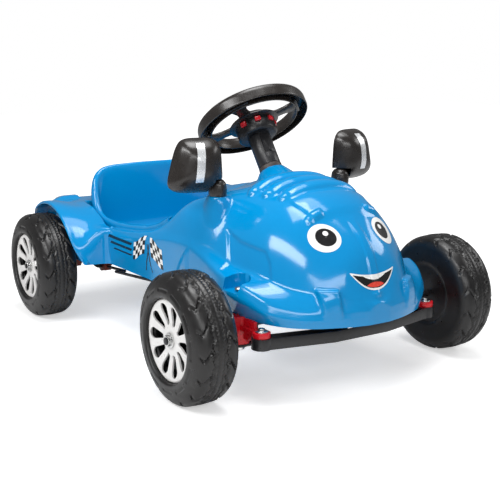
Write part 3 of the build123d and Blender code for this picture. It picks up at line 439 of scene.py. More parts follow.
RECESS = (297.0, 180.0, 22.0, 23.0)
RECESS_OUT = 42.0
RECESS_FLOOR = 174.5
CONE_TOP = -114.0
CONE_RADIUS, CONE_SLOPE, CONE_BLEND = 25, 1.45, 5
CONE_FOOT = (48, 62)
MIRROR_FOOT = 313.5
MIRROR_FOOT_MIDDLE = (163, 137)
MIRROR_FOOT_EDGE = (17, 25)


def section_columns(half):
    """A section's dense outline, from the right bottom edge over the top to the left one."""
    full = np.vstack([half[3:0:-1] * (1, -1, 1), half[:4]])
    reach = lengths(full)
    crown = spline(reach, full, np.linspace(0, reach[-1], CROWN_COLUMNS))
    flank = np.vstack([np.linspace(half[i], half[i + 1], n)[1:] for i, n in FLANK_COLUMNS])
    return np.vstack([flank[::-1] * (1, -1, 1), crown, flank])


def body_grid():
    """Dense grid of the shell's outer skin."""
    knots = np.array([[(x, y, z) for y, z in half] for x, *half in BODY_SECTIONS], float)
    nose = np.array([knots[-1] * (1, 0.5, 1), knots[-1] * (1, 0, 1)])
    step = np.sqrt((np.diff(knots, axis=0) ** 2).sum(-1)).mean(1)
    reach = np.concatenate([[0], np.cumsum(step)])
    sections = spline(reach, knots, np.linspace(0, reach[-1], BODY_ROWS))
    sections = np.concatenate([sections, nose])
    skin = np.array([section_columns(half) for half in sections])
    skin = softened(skin, 3)
    skin[:-3] = np.swapaxes(softened(np.swapaxes(skin[:-3], 0, 1), 4), 0, 1)
    return skin


def normals_of(skin):
    """Outward normals of a grid of points."""
    normal = np.cross(np.gradient(skin, axis=1), np.gradient(skin, axis=0))
    normal /= np.maximum(np.linalg.norm(normal, axis=-1, keepdims=True), 1e-9)
    return normal * (1 if normal[60, skin.shape[1] // 2, 2] > 0 else -1)


def rib_relief(x, y):
    """Rolls across the hood, each with a knob at both ends."""
    relief = np.zeros_like(x)
    for middle, half in RIBS:
        roll = np.sqrt(np.clip(1 - ((x - middle) / RIB_REACH) ** 2, 0, 1))
        swell = RIB_LOW + RIB_SWELL * np.clip(1 - (y / RIB_SPAN) ** 2, 0, 1)
        relief = np.maximum(relief, roll * swell * (1 - smoothstep(y, half - 7, half + 5)))
        knob = np.clip(1 - ((x - middle) ** 2 + (y - half) ** 2) / KNOB_RADIUS ** 2, 0, 1)
        relief = np.maximum(relief, KNOB_HEIGHT * np.sqrt(knob))
    return relief


def face_relief(x, y, z):
    """The raised panel and brows over the eyes, the nose's ridge and lip, and the cheek blocks."""
    edge = np.interp(x, (297, 309, 341), (75, 75, 67))
    relief = 3 * (1 - smoothstep(y, edge - 2, edge + 2)) * band(x, (286, 300), (345, 365))
    relief += 4 * band(y, (45, 48), (74, 77)) * band(x, (341, 344), (352, 355))
    relief *= z > HOOD_Z
    ridge = (1 - smoothstep(y, 6.5, 10)) * smoothstep(x, 362, 402)
    relief += 2.6 * ridge * (z > 200)
    lip = np.exp(-(y / 8) ** 2 - ((z - 176) / 6) ** 2)
    relief += 4 * lip * (x > 430)
    cheek = band(y, (67, 70), (96, 99)) * (1 - smoothstep(z, 184, 190)) * smoothstep(z, 134, 178)
    return relief + 9 * cheek * (x > 380)


def hood_relief(skin):
    """Height of the moulded details over the plain skin."""
    x, y, z = skin[..., 0], np.abs(skin[..., 1]), skin[..., 2]
    relief = rib_relief(x, y) * (z > HOOD_Z) + face_relief(x, y, z)
    flat = np.stack([x, z], -1)
    panel = 1 - smoothstep(to_outline(flat, SIDE_PANEL), -2.5, 0.5)
    flare = 1 - smoothstep(to_outline(flat, FLARE), -5, 0)
    return relief - SIDE_PANEL_DEPTH * panel * (y > 100) + FLARE_HEIGHT * flare * (y > 150)


def cone_lift(skin):
    """How far the hood rises along the steering axis to form the column's cone."""
    from_axis = skin - STEER_CENTRE
    height = from_axis @ STEER_UP
    radius = np.linalg.norm(from_axis - height[..., None] * STEER_UP, axis=-1)
    gap = CONE_TOP - np.maximum(radius - CONE_RADIUS, 0) * CONE_SLOPE - height
    lift = np.where(radius < CONE_FOOT[1], (gap + np.sqrt(gap ** 2 + CONE_BLEND ** 2)) / 2, 0)
    return lift * (1 - smoothstep(radius, *CONE_FOOT)) * (skin[..., 2] > 280)


def pedestal_lift(skin):
    """How far the hood rises to the flat pedestals under the mirrors' arms."""
    along = (skin[..., 0] - MIRROR_FOOT_MIDDLE[0]) / 1.15
    foot = np.hypot(along, np.abs(skin[..., 1]) - MIRROR_FOOT_MIDDLE[1])
    missing = np.maximum(MIRROR_FOOT - skin[..., 2], 0)
    return missing * (1 - smoothstep(foot, *MIRROR_FOOT_EDGE)) * (skin[..., 2] > 250)


def rounded_drop(distance, radius):
    """How far a rounded edge drops, this far in from the wall."""
    near = np.clip(distance, 0, radius)
    return radius - np.sqrt(np.clip(radius ** 2 - (radius - near) ** 2, 0, None))


def body_skin():
    """The shell's outer skin with its relief, the column's cone and the rolled opening edge."""
    skin = body_grid()
    skin = skin + normals_of(skin) * hood_relief(skin)[..., None]
    skin = skin + cone_lift(skin)[..., None] * STEER_UP
    skin[..., 2] += pedestal_lift(skin)
    skin[..., 2] -= rounded_drop(to_outline(skin[..., :2], OPENING), OPENING_ROLL)
    skin[..., 0] = np.minimum(skin[..., 0], NOSE_LIMIT)
    return skin


def recess_reach(x, y):
    """1 on the edge of an oval recess, which runs out over the side of the shelf."""
    middle_x, middle_y, a, b = RECESS
    aside = np.abs(y) - middle_y
    return np.hypot((x - middle_x) / a, aside / np.where(aside > 0, RECESS_OUT, b))


def body_cut(points):
    """Below zero inside the cockpit opening and the two oval recesses."""
    opening = to_outline(points[:, :2], OPENING)
    oval = (recess_reach(points[:, 0], points[:, 1]) - 1) * RECESS[3]
    above = points[:, 2] - RECESS_FLOOR
    return np.minimum(opening, np.maximum(oval, -above))


RECESS_SNAP = 0.04


def on_recess_edge(vertex, side):
    """Whether a vertex lies on the cut edge of one side's recess."""
    x, y, z = (c / MM for c in vertex.co)
    reach = recess_reach(x, y)
    at_floor = abs(z - RECESS_FLOOR) < 0.3 and reach < 1
    return y * side > 100 and (abs(reach - 1) < RECESS_SNAP or at_floor)


def put_in_order(elements, place):
    """Sort points, edges or faces by place, because an extrusion adds them in no fixed order."""
    rank = {element: number for number, element in enumerate(sorted(elements, key=place))}
    elements.sort(key=rank.get)


def sink_recesses(mesh):
    """Extrude the edge of each oval recess down to its floor and close it."""
    work = bmesh.new()
    work.from_mesh(mesh)
    for side in SIDES.values():
        rim = [e for e in work.edges if e.is_boundary and all(on_recess_edge(v, side) for v in e.verts)]
        made = bmesh.ops.extrude_edge_only(work, edges=rim)["geom"]
        low = [v for v in made if isinstance(v, bmesh.types.BMVert)]
        for v in low:
            v.co.z = min(v.co.z, RECESS_FLOOR * MM)
        edges = [e for e in made if isinstance(e, bmesh.types.BMEdge) and all(v in low for v in e.verts)]
        bmesh.ops.contextual_create(work, geom=edges)
    bmesh.ops.remove_doubles(work, verts=work.verts, dist=0.03 * MM)
    bmesh.ops.recalc_face_normals(work, faces=work.faces)
    put_in_order(work.verts, lambda v: tuple(v.co))
    put_in_order(work.edges, lambda e: sorted(tuple(v.co) for v in e.verts))
    put_in_order(work.faces, lambda f: sorted(tuple(v.co) for v in f.verts))
    work.to_mesh(mesh)
    work.free()


def build_body():
    """The blue shell of hood, cowl, shelves and side panels."""
    skin = body_skin()
    rows, columns = skin.shape[:2]
    mesh = bpy.data.meshes.new("body_shell")
    mesh.from_pydata((skin.reshape(-1, 3) * MM).tolist(), [], grid(rows, columns).tolist())
    weld(mesh)
    cut_away(mesh, body_cut)
    sink_recesses(mesh)
    return dress(mesh, "blue_body", "front_body", wall=3.5, sharp=60)


# ---- seat tub ----
# Stations along the rim, from the front of one side to the middle of the back: rim point, outward.
TUB_RIM = (
    ((37, 158, 257), (0, 1)), ((-9, 158, 236), (0, 1)), ((-58, 158, 223), (0, 1)),
    ((-140, 158, 213), (0, 1)), ((-210, 158, 208.5), (0, 1)), ((-258, 158, 210), (0, 1)),
    ((-284, 158, 218), (0, 1)), ((-300, 157.5, 234), (-0.05, 1)), ((-310, 156.5, 256), (-0.2, 0.98)),
    ((-317, 153, 280), (-0.45, 0.9)), ((-322, 146, 298), (-0.75, 0.66)),
    ((-324.5, 132, 308), (-0.93, 0.36)), ((-325.5, 110, 312), (-1, 0)),
    ((-326, 50, 314), (-1, 0)), ((-326, 0, 314), (-1, 0)),
)
TUB_ROLL = ((13, -9), (14, -4), (12, 1), (8, 4), (3, 4.5), (0, 3), (-1.5, 0))
TUB_FLOOR = 164.0
TUB_FILLET = 26.0
TUB_LEAN = 60
TUB_FRONT = ((-20, 140), (-20, 161), (-6, 183), (37, 226), (37, 300), (90, 300), (90, 140))


def tub_row(point, outward, rise):
    """One line of the tub, from its rolled rim down the wall to the edge of the floor."""
    roll = [point + a * outward + b * rise for a, b in TUB_ROLL]
    low = TUB_FLOOR + TUB_FILLET
    down = np.linspace(point[2] - 6, low, 14)
    lean = (point[2] - down) / TUB_LEAN
    wall = [np.array([*(point - (2 + k) * outward)[:2], z]) for z, k in zip(down, lean)]
    foot = wall[-1]
    turn = np.linspace(0, pi / 2, 8)[1:]
    bend = [foot - TUB_FILLET * ((1 - cos(t)) * outward + np.array([0, 0, sin(t)])) for t in turn]
    return np.vstack([roll, wall, bend])


def build_tub():
    """The bucket seat with its rolled rim."""
    stations = [np.array([*point, *outward, 0], float) for point, outward in TUB_RIM]
    stations += [p * (1, -1, 1, 1, -1, 1) for p in stations[-2::-1]]
    line = dense(stations, 4.0, 5)
    points, outward = line[:, :3], line[:, 3:]
    outward = outward / np.linalg.norm(outward, axis=1, keepdims=True)
    along = np.gradient(points, axis=0)
    rise = np.cross(outward, along)
    rise /= np.linalg.norm(rise, axis=1, keepdims=True)
    rise[rise[:, 2] + rise[:, 0] < 0] *= -1
    skin = softened([tub_row(*row) for row in zip(points, outward, rise)], 2)
    rows, columns = skin.shape[:2]
    floor = [row * columns + columns - 1 for row in range(rows)]
    make("tub_shell", skin, [*grid(rows, columns), floor], "blue_body", "seat_tub", wall=3.0, sharp=50,
         cut=lambda points: to_outline(points[:, ::2], TUB_FRONT))


# ---- rear deck ----
# Cross-sections from the front of the left side to the middle of the rear: outer and inner point in plan.
DECK_PAIRS = (
    ((-183, 187.5), (-183, 177)), ((-190.5, 193), (-191, 177)), ((-194, 220), (-197, 177)),
    ((-197, 246), (-206, 177)), ((-206, 261), (-222, 177)), ((-228, 266), (-246, 177)),
    ((-330, 266), (-322, 177)), ((-408, 266), (-333, 174)), ((-434, 254), (-336, 166)),
    ((-448, 224), (-336, 155)), ((-452.5, 180), (-336, 140)), ((-452.5, 0), (-336, 0)),
)
DECK_TOP = ((-180, 203), (-222, 204.5), (-250, 220), (-285, 234), (-330, 239), (-400, 239), (-436, 231),
            (-452.5, 204))
DECK_REAR = ((128, 138, 162, 204, 300), (-416.5, -436.5, -450.5, -452.5, -452.5))
DECK_LOW = 128.0
ARCH_RADIUS = 135.5
WELL_RADIUS = 131.5
WELL_Y = 232
INNER_EDGE = 6
OUTER_EDGE = 14
BLOCK_HEIGHT = 6


def deck_height(x):
    """Height of the deck's top over x."""
    line = dense(DECK_TOP, 1.5, 40)[::-1]
    return np.interp(x, line[:, 0], line[:, 1])


def arch(x, radius):
    """Height of a circle round the rear wheels' axis."""
    return AXLE_Z + np.sqrt(np.clip(radius ** 2 - (x - REAR_AXLE_X) ** 2, 0, None))


def deck_block(x, y):
    """Height of the raised block at each rear corner."""
    return BLOCK_HEIGHT * band(x, (-437, -429), (-386, -378)) * band(y, (166, 172), (236, 246))


def deck_top(outer, inner):
    """The top of one cross-section, with both its edges rounded."""
    width = np.linalg.norm(outer - inner)
    share = np.concatenate([(1 - np.cos(np.linspace(0, pi / 2, 9))) * INNER_EDGE / width,
                            np.linspace(7 / width, 1 - 15 / width, 22),
                            1 - (1 - np.sin(np.linspace(0, pi / 2, 13))) * OUTER_EDGE / width])
    flat = inner + share[:, None] * (outer - inner)
    x, y = flat[:, 0], np.abs(flat[:, 1])
    top = deck_height(x) + deck_block(x, y)
    top = top + smoothstep(y, 196, 258) * (arch(x, ARCH_RADIUS) - top)
    # The outer edge is rounder where it runs outwards to the wheels, and sharp over them.
    aside = abs(outer[1])
    edge = OUTER_EDGE + 14 * smoothstep(aside, 195, 222) - 24 * smoothstep(aside, 230, 262)
    top = top - rounded_drop(share * width, INNER_EDGE) - rounded_drop((1 - share) * width, edge)
    return np.column_stack([flat, top])


def upright(place, heights):
    """Points at one place in plan, at several heights."""
    return np.column_stack([np.tile(place, (len(heights), 1)), heights])


def deck_row(outer, inner):
    """One cross-section of the deck, from the inner wall's foot over the top to the wheel well."""
    over = deck_top(outer, inner)
    foot = min(max(DECK_LOW, arch(outer[0], WELL_RADIUS)), over[-1, 2] - 2)
    wall = upright(outer, np.linspace(over[-1, 2], foot, 13)[1:])
    under = np.array([outer[0], np.clip(outer[1], -WELL_Y, WELL_Y)])
    lip = np.column_stack([np.linspace(outer, under, 5)[1:], np.full(4, foot)])
    well = upright(under, np.linspace(foot, DECK_LOW, 11)[1:])
    inside = upright(inner, np.linspace(over[0, 2], 150, 9)[:0:-1])
    row = np.vstack([inside, over, wall, lip, well])
    row[:, 0] = np.maximum(row[:, 0], np.interp(row[:, 2], *DECK_REAR))
    return row


def build_deck():
    """The U-shaped rear deck with its wheel arches."""
    pairs = [np.array((*outer, *inner), float) for outer, inner in DECK_PAIRS]
    pairs += [p * (1, -1, 1, -1) for p in pairs[-2::-1]]
    line = dense(pairs, 5.0, 7)
    points = np.array([deck_row(row[:2], row[2:]) for row in line])
    make("deck_shell", points, grid(*points.shape[:2]), "blue_body", "rear_deck", wall=3.5, sharp=50)


# ---- wheels ----
WHEELS = {"front_left": (FRONT_AXLE_X, 1), "front_right": (FRONT_AXLE_X, -1),
          "rear_left": (REAR_AXLE_X, 1), "rear_right": (REAR_AXLE_X, -1)}
TYRE_PROFILE = ((64, 22), (64, 26), (69.5, 26), (69.5, 38), (70.5, 41.5), (75, 42), (84, 40.8), (94, 37.8),
                (104, 32.5), (109.6, 24), (111, 0), (109.6, -24), (104, -34), (93, -39.5), (60, -41),
                (56, -36), (30, -36), (6.5, -36))
TYRE_STEPS = 396
LUGS = 16
LUG_START = 12
LUG_DEPTH, ZIGZAG_DEPTH, ROW_DEPTH = 3.2, 2.4, 1.3
TREAD_RADIUS = 108
TREAD_RISE = (98, 103)
GROOVE_RADIUS, GROOVE_DEPTH = 84, 1.3
GROOVE_ARCS, GROOVE_GAP = 12, 0.28
DISC_PROFILE = ((69.3, 28), (69.3, 33), (67, 35), (62, 34.8), (57, 33), (30, 28.6), (25, 29.6), (21, 30),
                (8, 30))
DISC_STEPS = 240
OPENINGS = 10
OPENING_NEAR, OPENING_FAR = 29, 52
OPENING_SMALL, OPENING_GROWTH = 4.0, 5.6


def triangle(value):
    """A zigzag between -1 and 1 with period 1."""
    return 4 * np.abs((value + 0.25) % 1 - 0.5) - 1


def tread_depth(turn, radius, height):
    """How deep the tread is cut: lugs at the shoulders, a zigzag beside them, fine rows in the middle."""
    reach = np.abs(height)
    lug = turn * LUGS + 0.5 * (height > 0) + 0.20 * triangle((reach - LUG_START) / 22)
    groove = np.abs(lug % 1 - 0.5) * tau * TREAD_RADIUS / LUGS
    lugs = LUG_DEPTH * (1 - smoothstep(groove, 1.6, 3.8)) * smoothstep(reach, LUG_START, LUG_START + 2)
    ring = np.abs(reach - LUG_START - 0.5 - 2.2 * triangle(turn * LUGS * 2))
    zigzag = ZIGZAG_DEPTH * (1 - smoothstep(ring, 1.0, 2.6))
    row = np.abs(reach - 5 - 1.0 * triangle(turn * 99))
    rows = ROW_DEPTH * (1 - smoothstep(row, 0.5, 1.8))
    return np.maximum(np.maximum(lugs, zigzag), rows) * smoothstep(radius, *TREAD_RISE)


def tyre_points(centre, side):
    """The tyre's skin with its tread and the broken groove on its outer side."""
    line = dense(TYRE_PROFILE, 1.9, 5)
    turn = np.linspace(0, 1, TYRE_STEPS, endpoint=False)[:, None]
    radius, height = line[:, 0], line[:, 1]
    in_arc = (turn * GROOVE_ARCS % 1 > GROOVE_GAP) * (height > 35)
    groove = GROOVE_DEPTH * in_arc * (1 - smoothstep(np.abs(radius - GROOVE_RADIUS), 1.2, 2.6))
    cut = tread_depth(turn, radius, height) + groove
    tread = smoothstep(radius, *TREAD_RISE)
    inward = np.stack([tread, np.sign(height) * (1 - tread)], -1)
    return turned(line - cut[..., None] * inward, centre, (0, side, 0), TYRE_STEPS), len(line)


def teardrops(centre):
    """Distance function of the openings in a wheel disc."""
    def distance(points):
        u, v = points[:, 0] - centre[0], points[:, 2] - centre[2]
        radius, angle = np.hypot(u, v), np.arctan2(v, u)
        sector = tau / OPENINGS
        local = (angle + sector / 2) % sector - sector / 2
        along, aside = radius * np.cos(local), radius * np.sin(local)
        length = OPENING_FAR - OPENING_NEAR
        share = np.clip((along - OPENING_NEAR) / length, 0, 1)
        from_spine = np.hypot(along - OPENING_NEAR - share * length, aside)
        return from_spine - (OPENING_SMALL + OPENING_GROWTH * share)
    return distance


def build_wheel(corner, x, side):
    """Tyre, disc and nut of one wheel."""
    centre = (x, side * TRACK_Y, AXLE_Z)
    points, columns = tyre_points(centre, side)
    make(f"tyre_skin_{corner}", points, grid(TYRE_STEPS, columns, wrap_rows=True), "black_tyre",
         f"tyre_{corner}", sharp=38)
    disc = dense(DISC_PROFILE, 1.6, 2)
    make(f"disc_skin_{corner}", turned(disc, centre, (0, side, 0), DISC_STEPS),
         grid(DISC_STEPS, len(disc), wrap_rows=True), "silver_disc", f"wheel_disc_{corner}", wall=3.0,
         cut=teardrops(centre), sharp=40)
    soften(f"axle_nut_{corner}", 0.7)


# ---- steering ----
RIM_PROFILE = ((85.5, -13), (84.2, -6), (84.2, 4), (86.5, 10), (91, 12.6), (101, 12.6), (106, 10.2),
               (108, 5), (108, -13), (105.6, -13), (105.4, 3), (103.5, 8), (99.5, 10.4), (92.5, 10.4),
               (88.5, 8), (86.8, 3), (87.6, -13), (85.5, -13))
HUB_PROFILE = ((14, -5), (38, -5), (47, -7), (50, -11), (40, -14), (14, -14))
SPOKE_ANGLES = (50, 130, 230, 310)
SPOKE_LOW, SPOKE_HIGH = -10, -4
SPOKE = ((26, 19), (38, 15), (50, 11.5), (62, 11.5), (76, 15), (86, 23), (91, 24), (91, -24), (86, -23),
         (76, -15), (62, -11.5), (50, -11.5), (38, -15), (26, -19))


def build_steering():
    """Wheel rim, spokes and hub, with the parts below it."""
    lathe("steering_rim", RIM_PROFILE, STEER_CENTRE, STEER_UP, "black_gloss", "steering_wheel",
          segments=128, spacing=1.4)
    lathe("steering_hub", HUB_PROFILE, STEER_CENTRE, STEER_UP, "black_gloss", "steering_wheel")
    for number, angle in enumerate(SPOKE_ANGLES, start=1):
        turn = radians(angle)
        out = cos(turn) * STEER_FORWARD + sin(turn) * LEFT
        aside = np.cross(STEER_UP, out)
        plate(f"steering_spoke_{number}", SPOKE, STEER_CENTRE, out, aside, SPOKE_LOW, SPOKE_HIGH,
              "black_gloss", "steering_wheel", edge=1.6)
    for node, width in (("hub_cover", 1.5), ("steering_drum", 1.0), ("column_tube", 1.0),
                        ("battery_cover", 0.8), ("column_collar", 1.0)):
        soften(node, width)
    for number in range(1, 5):
        soften(f"button_{number}", 0.9)


# ---- mirrors ----
MIRROR_YAW = radians(12)
MIRROR_MID = (147.0, 170.0, 368.5)
MIRROR_HALF = (48.8, 48.3)
MIRROR_DEEP = 37.0
# Rings of the mirror: scale of its outline, depth in front of its back plane.
MIRROR_LIP = ((0.955, 4.2), (0.965, 1.2), (0.985, 0.2))
PANE_RINGS = ((0.001, 1.0), (0.5, 1.0), (0.90, 1.0), (0.915, 1.5), (0.915, 3.2), (0.5, 3.2), (0.001, 3.2))
STRIP_CORNERS = ((171, 183, 409), (171, 168, 409), (183, 176, 342), (183, 191, 342))
PIVOT = (167.0, 134.0)
NOTCH_RADIUS, NOTCH_TOP = 23.5, 345.0
LOBE_PROFILE = ((15, 312), (18, 313), (19, 318), (19, 327), (17.5, 336), (13, 341.5), (7, 344), (0, 344.4))
LOBE_SHIFT, LOBE_Y, LOBE_FLATNESS = 2, 138, 0.82


def mirror_axes(side):
    """Centre of the mirror's back plane, its outward, upward and forward directions."""
    forward = np.array([cos(MIRROR_YAW), side * sin(MIRROR_YAW), 0])
    outward = np.array([-sin(MIRROR_YAW), side * cos(MIRROR_YAW), 0])
    return np.array(MIRROR_MID) * (1, side, 1), outward, np.array([0, 0, 1.0]), forward


def mirror_outline():
    """The housing's outline in its back plane, evenly divided."""
    turn = np.linspace(0, tau, 2000, endpoint=False)
    power = 2 / 4.2
    u = MIRROR_HALF[0] * np.sign(np.cos(turn)) * np.abs(np.cos(turn)) ** power
    v = MIRROR_HALF[1] * np.sign(np.sin(turn)) * np.abs(np.sin(turn)) ** power
    u = u * (0.94 - 0.06 * v / MIRROR_HALF[1])
    slant = np.clip(3 - 0.2 * v, -4, 10)
    u += np.clip(u, 0, None) / MIRROR_HALF[0] * slant
    return dense(np.column_stack([u, v]), 2.4, 2, closed=True)


MIRROR_OUTLINE = mirror_outline()


def mirror_shell(side, scale, depth):
    """One ring of the mirror, at a scale of its outline and a depth in front of its back plane."""
    centre, outward, up, forward = mirror_axes(side)
    flat = MIRROR_OUTLINE * scale
    return centre + flat[:, :1] * outward + flat[:, 1:] * up + depth * forward


def mirror_notch(side):
    """Distance function of the room for the arm's lobe."""
    def distance(points):
        from_pivot = np.hypot(points[:, 0] - PIVOT[0], points[:, 1] - side * PIVOT[1])
        return np.maximum(from_pivot - NOTCH_RADIUS, points[:, 2] - NOTCH_TOP)
    return distance


def mirror_piece(name, side, rings, look, node, **finish):
    """A skin through rings of the mirror's outline, with room for the arm's lobe."""
    points = [mirror_shell(side, scale, depth) for scale, depth in rings]
    faces = grid(len(points), len(MIRROR_OUTLINE), wrap_columns=True)
    return make(name, points, faces, look, node, cut=mirror_notch(side), **finish)


def build_housing(name, side):
    """The mirror's housing with the plain strip on its front."""
    rings = list(MIRROR_LIP)
    for share in np.linspace(0, 1, 26):
        scale = 1 - share ** 1.6
        rings.append((max(scale, 0.001), 1.0 + MIRROR_DEEP * (1 - scale ** 2.6) ** 0.62))
    housing = mirror_piece(f"mirror_shell_{name}", side, rings, "black_gloss", f"mirror_housing_{name}",
                           wall=2.2, sharp=50)
    corners = [np.array(p) * (1, side, 1) for p in STRIP_CORNERS]
    strip = between(np.linspace(corners[0], corners[1], 6), np.linspace(corners[3], corners[2], 6), 12)
    decal(f"mirror_strip_{name}", skin_of(housing), strip, grid(12, 6), mirror_axes(side)[3],
          "silver_strip", 0.3, f"mirror_{name}")


def build_glass(name, side):
    """The mirror's pane, which follows the housing's outline."""
    node = f"mirror_glass_{name}"
    mirror_piece(f"mirror_pane_{name}", side, PANE_RINGS, SLOT_OF[node], node, sharp=40)


def build_lobe(name, side):
    """The mirror's arm: a rounded lobe on the pedestal, narrower across than along."""
    arm = lathe(f"mirror_lobe_{name}", LOBE_PROFILE, (PIVOT[0], side * PIVOT[1], 0), (0, 0, 1),
                "black_gloss", f"mirror_arm_{name}", segments=64)
    for vertex in arm.data.vertices:
        vertex.co.x -= LOBE_SHIFT * MM
        vertex.co.y = side * LOBE_Y * MM + (vertex.co.y - side * PIVOT[1] * MM) * LOBE_FLATNESS


# ---- decals ----
def skin_of(obj):
    """A piece's surface, to drop decals on."""
    places = [v.co.copy() for v in obj.data.vertices]
    return BVHTree.FromPolygons(places, [tuple(p.vertices) for p in obj.data.polygons])


DROP_FROM = 0.12


def decal(name, skin, points, faces, away, look, lift, body):
    """Drop points (mm) on a surface against the direction away, and lift them a little."""
    away = Vector(away).normalized()
    landed = []
    for point in np.asarray(points, float).reshape(-1, 3):
        start = Vector(point) * MM
        hit, normal, _, _ = skin.ray_cast(start + away * DROP_FROM, -away)
        if hit is None:
            hit, normal, _, _ = skin.find_nearest(start)
        facing = normal if normal.dot(away) > 0 else -normal
        landed.append(np.array(hit + facing * lift * MM) / MM)
    return make(name, landed, faces, look, body=body, sharp=180)


def oval(centre, across, along, a, b, rings=7, around=48):
    """Points of a filled oval in the plane of two directions."""
    turn = np.linspace(0, tau, around, endpoint=False)
    size = np.linspace(0.02, 1, rings)[:, None, None]
    edge = a * np.cos(turn)[:, None] * across + b * np.sin(turn)[:, None] * along
    return centre + size * edge, grid(rings, around, wrap_columns=True)


# Part, shift across and along (across counts outwards), half sizes, look, lift.
EYE_PARTS = (
    ("white", (0, 0), (29, 25.5), "decal_white", 0.3),
    ("iris", (-2.5, 1.0), (18.5, 16.0), "decal_black", 0.5),
    ("glint", (-2.0, 8.0), (5.0, 4.5), "decal_white", 0.7),
)
EYE_MIDDLE = (380.5, 63.0, 266.5)
EYE_TILT = radians(32)


def build_eye(name, side, skin):
    """A round eye: white, black iris, white glint."""
    centre = np.array(EYE_MIDDLE) * (1, side, 1)
    _, normal, _, _ = skin.find_nearest(Vector(centre) * MM)
    away = np.array(normal if normal.x > 0 else -normal)
    across = np.cross((0, 0, 1), away)
    across /= np.linalg.norm(across)
    along = np.cross(away, across)
    long_way = cos(EYE_TILT) * across + side * sin(EYE_TILT) * along
    short_way = np.cross(away, long_way)
    for part, shift, size, look, lift in EYE_PARTS:
        middle = centre + side * shift[0] * across + shift[1] * along
        points, faces = oval(middle, long_way, short_way, *size)
        decal(f"eye_{part}_{name}", skin, points, faces, away, look, lift, "chassis")


def between(upper, lower, rows=6):
    """Points from one line to another."""
    share = np.linspace(0, 1, rows)[:, None, None]
    return np.array(upper) * (1 - share) + np.array(lower) * share


SMILE_X, SMILE_TOP, SMILE_LOW, SMILE_HALF = 440.0, 207, 183, 46
# Part, half width, shifts of the upper and lower line, look, lift.
SMILE_PARTS = (
    ("edge", 46, 1.5, -1.5, "decal_white", 0.3),
    ("inside", 42, -1.5, 2.0, "decal_black", 0.5),
    ("teeth", 36, -1.5, 17.0, "decal_white", 0.7),
    ("tongue", 20, -16.0, 3.5, "decal_red", 0.7),
)


def build_smile(skin):
    """A plain smile across the nose."""
    y = np.linspace(-1, 1, 41)
    for part, half, top, low, look, lift in SMILE_PARTS:
        across = y * half
        upper = SMILE_TOP + top + 8 * (across / SMILE_HALF) ** 2
        lower = SMILE_LOW + low + 33 * (np.abs(across) / SMILE_HALF) ** 2.2
        if part == "tongue":
            upper = SMILE_LOW + low + 9 * np.sqrt(1 - y ** 2)
        lower = np.minimum(lower, upper)
        lines = [np.column_stack([np.full(41, SMILE_X), across, line]) for line in (upper, lower)]
        decal(f"smile_{part}", skin, between(*lines), grid(6, 41), (1, 0, 0.25), look, lift, "chassis")


# Per flag, as x and z: top of the pole, the cloth's run and fall, and the way down the pole.
FLAGS = (((-14, 216), (-50, -20), (-6, -36), (22, -68)), ((3, 216), (46, -16), (5, -38), (-20, -68)))
FLAG_COLUMNS, FLAG_ROWS = 5, 4
FLAG_WAVE = 2.5
POLE_WIDTH = 3
# Per stripe: rear end, front end, low and high edge; the ends slant forward by STRIPE_SLANT.
STRIPES = ((-186, -78, 186, 192), (-176, -78, 175, 180), (-160, -78, 165, 168.5))
STRIPE_SLANT = 6


def side_decal(name, side, skin, corners, look, lift=0.3):
    """A four-cornered decal on a side panel, its corners as (x, z)."""
    a, b, c, d = (np.array([x, side * 195.0, z]) for x, z in corners)
    points = between(np.linspace(a, b, 5), np.linspace(d, c, 5), 5)
    decal(name, skin, points, grid(5, 5), (0, side, 0), look, lift, "chassis")


def flag_corner(corner, run, fall, i, j):
    """Corner i along and j down a flag's cloth."""
    return corner + run * i / FLAG_COLUMNS + fall * j / FLAG_ROWS + (0, FLAG_WAVE * sin(i * 1.2))


def build_flags(side, name, skin):
    """Crossed chequered flags on one side panel."""
    for number, flag in enumerate(FLAGS, start=1):
        corner, run, fall, pole = np.array(flag, float)
        for i in range(FLAG_COLUMNS):
            for j in range(FLAG_ROWS):
                a, b = flag_corner(corner, run, fall, i, j), flag_corner(corner, run, fall, i + 1, j)
                down = fall / FLAG_ROWS
                look = "decal_black" if (i + j) % 2 else "decal_white"
                side_decal(f"flag_{number}_{i}_{j}_{name}", side, skin, (a, b, b + down, a + down), look)
        width = np.array((POLE_WIDTH, 0))
        foot = corner + pole
        side_decal(f"pole_{number}_{name}", side, skin, (corner, corner + width, foot + width, foot),
                   "decal_black", 0.4)


def build_stripes(side, name, skin):
    """Plain stripes in the place of the photo's lettering."""
    for number, (rear, front, low, high) in enumerate(STRIPES, start=1):
        corners = ((rear, low), (front, low), (front + STRIPE_SLANT, high), (rear + STRIPE_SLANT, high))
        side_decal(f"stripe_{number}_{name}", side, skin, corners, "decal_black")


# ---- everything together ----
SOFT_SINGLES = (("tie_rod", 0.9), ("front_beam", 1.2), ("axle_bearings", 1.2), ("pedal_brackets", 1.5),
                ("seat_screws", 0.5), ("bearing_screws", 0.6))
SOFT_PAIRS = (("knuckle", 1.3), ("tie_rod_bolt", 0.7), ("kingpin_bolt", 0), ("stub_axle", 0.6),
              ("crank_bush", 1.0), ("pedal_arm", 1.2), ("pedal_pad", 2.0), ("push_rod", 0))


def build_rest():
    """Smaller parts keep their shape and get rounded edges; what is left gets only its material."""
    for node, width in SOFT_SINGLES:
        soften(node, width)
    for name in SIDES:
        for node, width in SOFT_PAIRS:
            soften(f"{node}_{name}", width)
    for node, obj in frame["nodes"].items():
        if not obj.hide_render:
            obj.data.materials.clear()
            obj.data.materials.append(LOOKS[SLOT_OF[node]])


